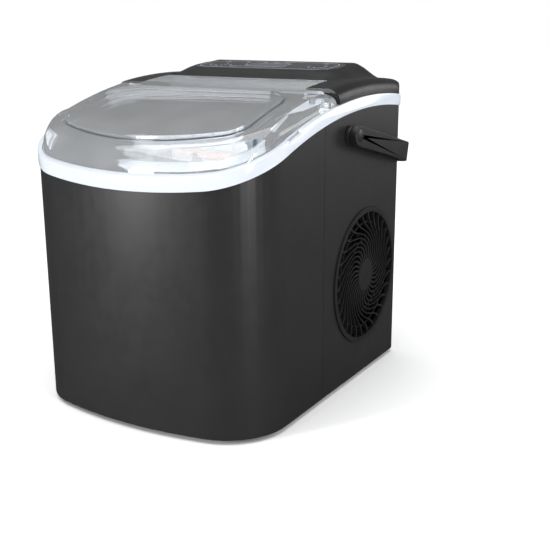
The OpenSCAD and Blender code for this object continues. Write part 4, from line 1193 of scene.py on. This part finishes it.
@dataclass
class FreezingUnit:
    """The evaporator, the tilting tray, the pusher and the water parts."""

    def build(self) -> None:
        """Dresses the freezing unit."""
        dressed_all({
            Finish.STEEL: ("evaporator_plate", "tray_shafts", "pusher_rails"),
            Finish.PLATED: ("evaporator_fingers",),
            Finish.COPPER: ("evaporator_coil",),
            Finish.FOOD_WHITE: ("water_tray", "ice_pusher"),
            Finish.CASE: ("tray_motor", "water_pump"),
            Finish.SILICONE: ("water_hose",),
        })


@dataclass
class MachineRoom:
    """The compressor, its pipes and the electrics behind the alcove."""

    def build(self) -> None:
        """Dresses the machine room."""
        dressed_all({
            Finish.ENAMEL: ("compressor_shell", "compressor_base"),
            Finish.RUBBER: ("compressor_grommets",),
            Finish.STRUCTURE: ("terminal_box", "board_tray"),
            Finish.COPPER: ("filter_drier", "copper_lines"),
            Finish.STEEL: ("hot_gas_valve",),
            Finish.BOARD: ("power_board",),
        })


# ---------- studio ----------


@dataclass(frozen=True)
class PanelLight:
    """A soft panel of light: its name, place and size in metres, and power in watts."""

    name: str
    place: Triple
    size: Pair
    watts: float
    mirrored: bool = True

    def build(self, target: Vector) -> None:
        """Adds the light, turned to the target."""
        data = bpy.data.lights.new(self.name, "AREA")
        data.shape = "RECTANGLE"
        data.size, data.size_y = self.size
        data.energy = self.watts
        lamp = new_object(self.name, data)
        lamp.location = self.place
        aim = target - Vector(self.place)
        lamp.rotation_euler = aim.to_track_quat("-Z", "Y").to_euler()
        lamp.visible_glossy = self.mirrored


@dataclass
class Studio:
    """The pale floor, the soft lights and the camera."""

    # the lens and where its axis meets the square frame, in the same units as the frame's side
    frame_side: float = 550.0
    focal_length: float = 920.1
    axis: Pair = (270.46, 264.62)
    sensor_mm: float = 36.0
    near_clip_m: float = 0.01
    azimuth: float = 30.96
    pitch: float = 15.24
    roll: float = -0.28
    eye_mm: Triple = (441.5, -653.4, 315.4)
    floor_m: float = 12.0
    paper_mm: float = 400.0
    paper_rough: float = 0.9
    # painted reflection: glossy rays see the floor in this dark grey instead of its pale colour
    painted_floor_reflection: str = "#454647"  # how dark the floor shows in the machine's gloss
    middle_m: Triple = (0.0, 0.0, 0.15)
    overhead_strength: float = 2.62
    overhead_spread: float = 70.0
    overhead_turn: Pair = (8.0, -6.0)
    room_strength: float = 0.2
    panels: tuple[PanelLight, ...] = (
        # the upright highlight left of the front's middle
        PanelLight("left_strip", (-0.98, -1.75, 0.42), (0.3, 0.84), 30.0),
        # the narrow highlight on the front's right corner
        PanelLight("right_strip", (1.9, -0.75, 0.42), (0.14, 0.84), 17.0),
        PanelLight("rear_panel", (1.6, 2.3, 0.6), (1.4, 1.0), 11.0),
        # lifts the white band on the right without a highlight on the black side
        PanelLight("side_fill", (2.1, 0.2, 1.3), (1.6, 1.6), 18.0, mirrored=False),
    )

    def camera(self) -> None:
        """Sets the camera at the viewing angle."""
        data = bpy.data.cameras.new("view")
        cam = new_object("view", data)
        data.sensor_width = self.sensor_mm
        data.lens = self.focal_length / self.frame_side * data.sensor_width
        half = self.frame_side / 2
        data.shift_x = (half - self.axis[0]) / self.frame_side
        data.shift_y = (self.axis[1] - half) / self.frame_side
        data.clip_start = self.near_clip_m
        az, pitch = math.radians(self.azimuth), math.radians(self.pitch)
        turn = Matrix.Rotation(az, 4, "Z") @ Matrix.Rotation(math.pi / 2 - pitch, 4, "X")
        turn = turn @ Matrix.Rotation(math.radians(self.roll), 4, "Z")
        cam.matrix_world = Matrix.Translation(Vector(self.eye_mm) * MM) @ turn
        bpy.context.scene.camera = cam

    def floor(self) -> None:
        """Lays the pale floor, which glossy rays see as a painted dark reflection."""
        bpy.ops.mesh.primitive_plane_add(size=self.floor_m, location=(0, 0, 0))
        floor = bpy.context.object
        floor.name = "studio_floor"
        material, tree, place = fresh_material("studio_paper")
        shader = add_node(tree, "BsdfPrincipled", {
            "Base Color": tinted(tree, noise(tree, place, self.paper_mm, 1.0), "#ffffff", "#fefefe"),
            "Roughness": self.paper_rough,
            "Specular IOR Level": 0.0,
        })
        # painted reflection: glossy rays see this dark grey in place of the pale paper
        dark = add_node(tree, "BsdfDiffuse", {"Color": linear(self.painted_floor_reflection)})
        path = add_node(tree, "LightPath")
        paper = mixed(tree, path.outputs["Is Glossy Ray"], shader, dark)
        add_node(tree, "OutputMaterial", {"Surface": paper.outputs[0]})
        floor.data.materials.append(material)

    def build(self) -> None:
        """Builds the studio."""
        self.camera()
        self.floor()
        for panel in self.panels:
            panel.build(Vector(self.middle_m))
        self.overhead()
        self.sky()
        bpy.context.scene.view_settings.view_transform = "Standard"

    def overhead(self) -> None:
        """Adds the even overhead light that whitens the floor."""
        data = bpy.data.lights.new("overhead", "SUN")
        data.energy = self.overhead_strength
        data.angle = math.radians(self.overhead_spread)
        lamp = new_object("overhead", data)
        lamp.rotation_euler = (*(math.radians(turn) for turn in self.overhead_turn), 0)

    def sky(self) -> None:
        """Lights the room softly; what the camera sees behind the machine is white."""
        world = bpy.data.worlds.new("studio")
        bpy.context.scene.world = world
        world.use_nodes = True
        tree = world.node_tree
        tree.nodes.clear()
        path = add_node(tree, "LightPath")
        room = add_node(
            tree, "Background", {"Color": linear("#f4f6f8"), "Strength": self.room_strength}
        )
        seen = add_node(tree, "Background", {"Color": linear("#ffffff"), "Strength": 1.0})
        both = mixed(tree, path.outputs["Is Camera Ray"], room, seen)
        add_node(tree, "OutputWorld", {"Surface": both.outputs[0]})


def main() -> None:
    """Builds the studio and every sub-assembly in order."""
    logging.basicConfig(level=logging.INFO, format="%(name)s: %(message)s")
    Studio().build()
    for assembly in (Housing, TopCover, Lid, CarryHandle, AirSide, IceBay, FreezingUnit, MachineRoom):
        assembly().build()
        log.info("%s done", assembly.__name__)


if __name__ == "__main__":
    main()
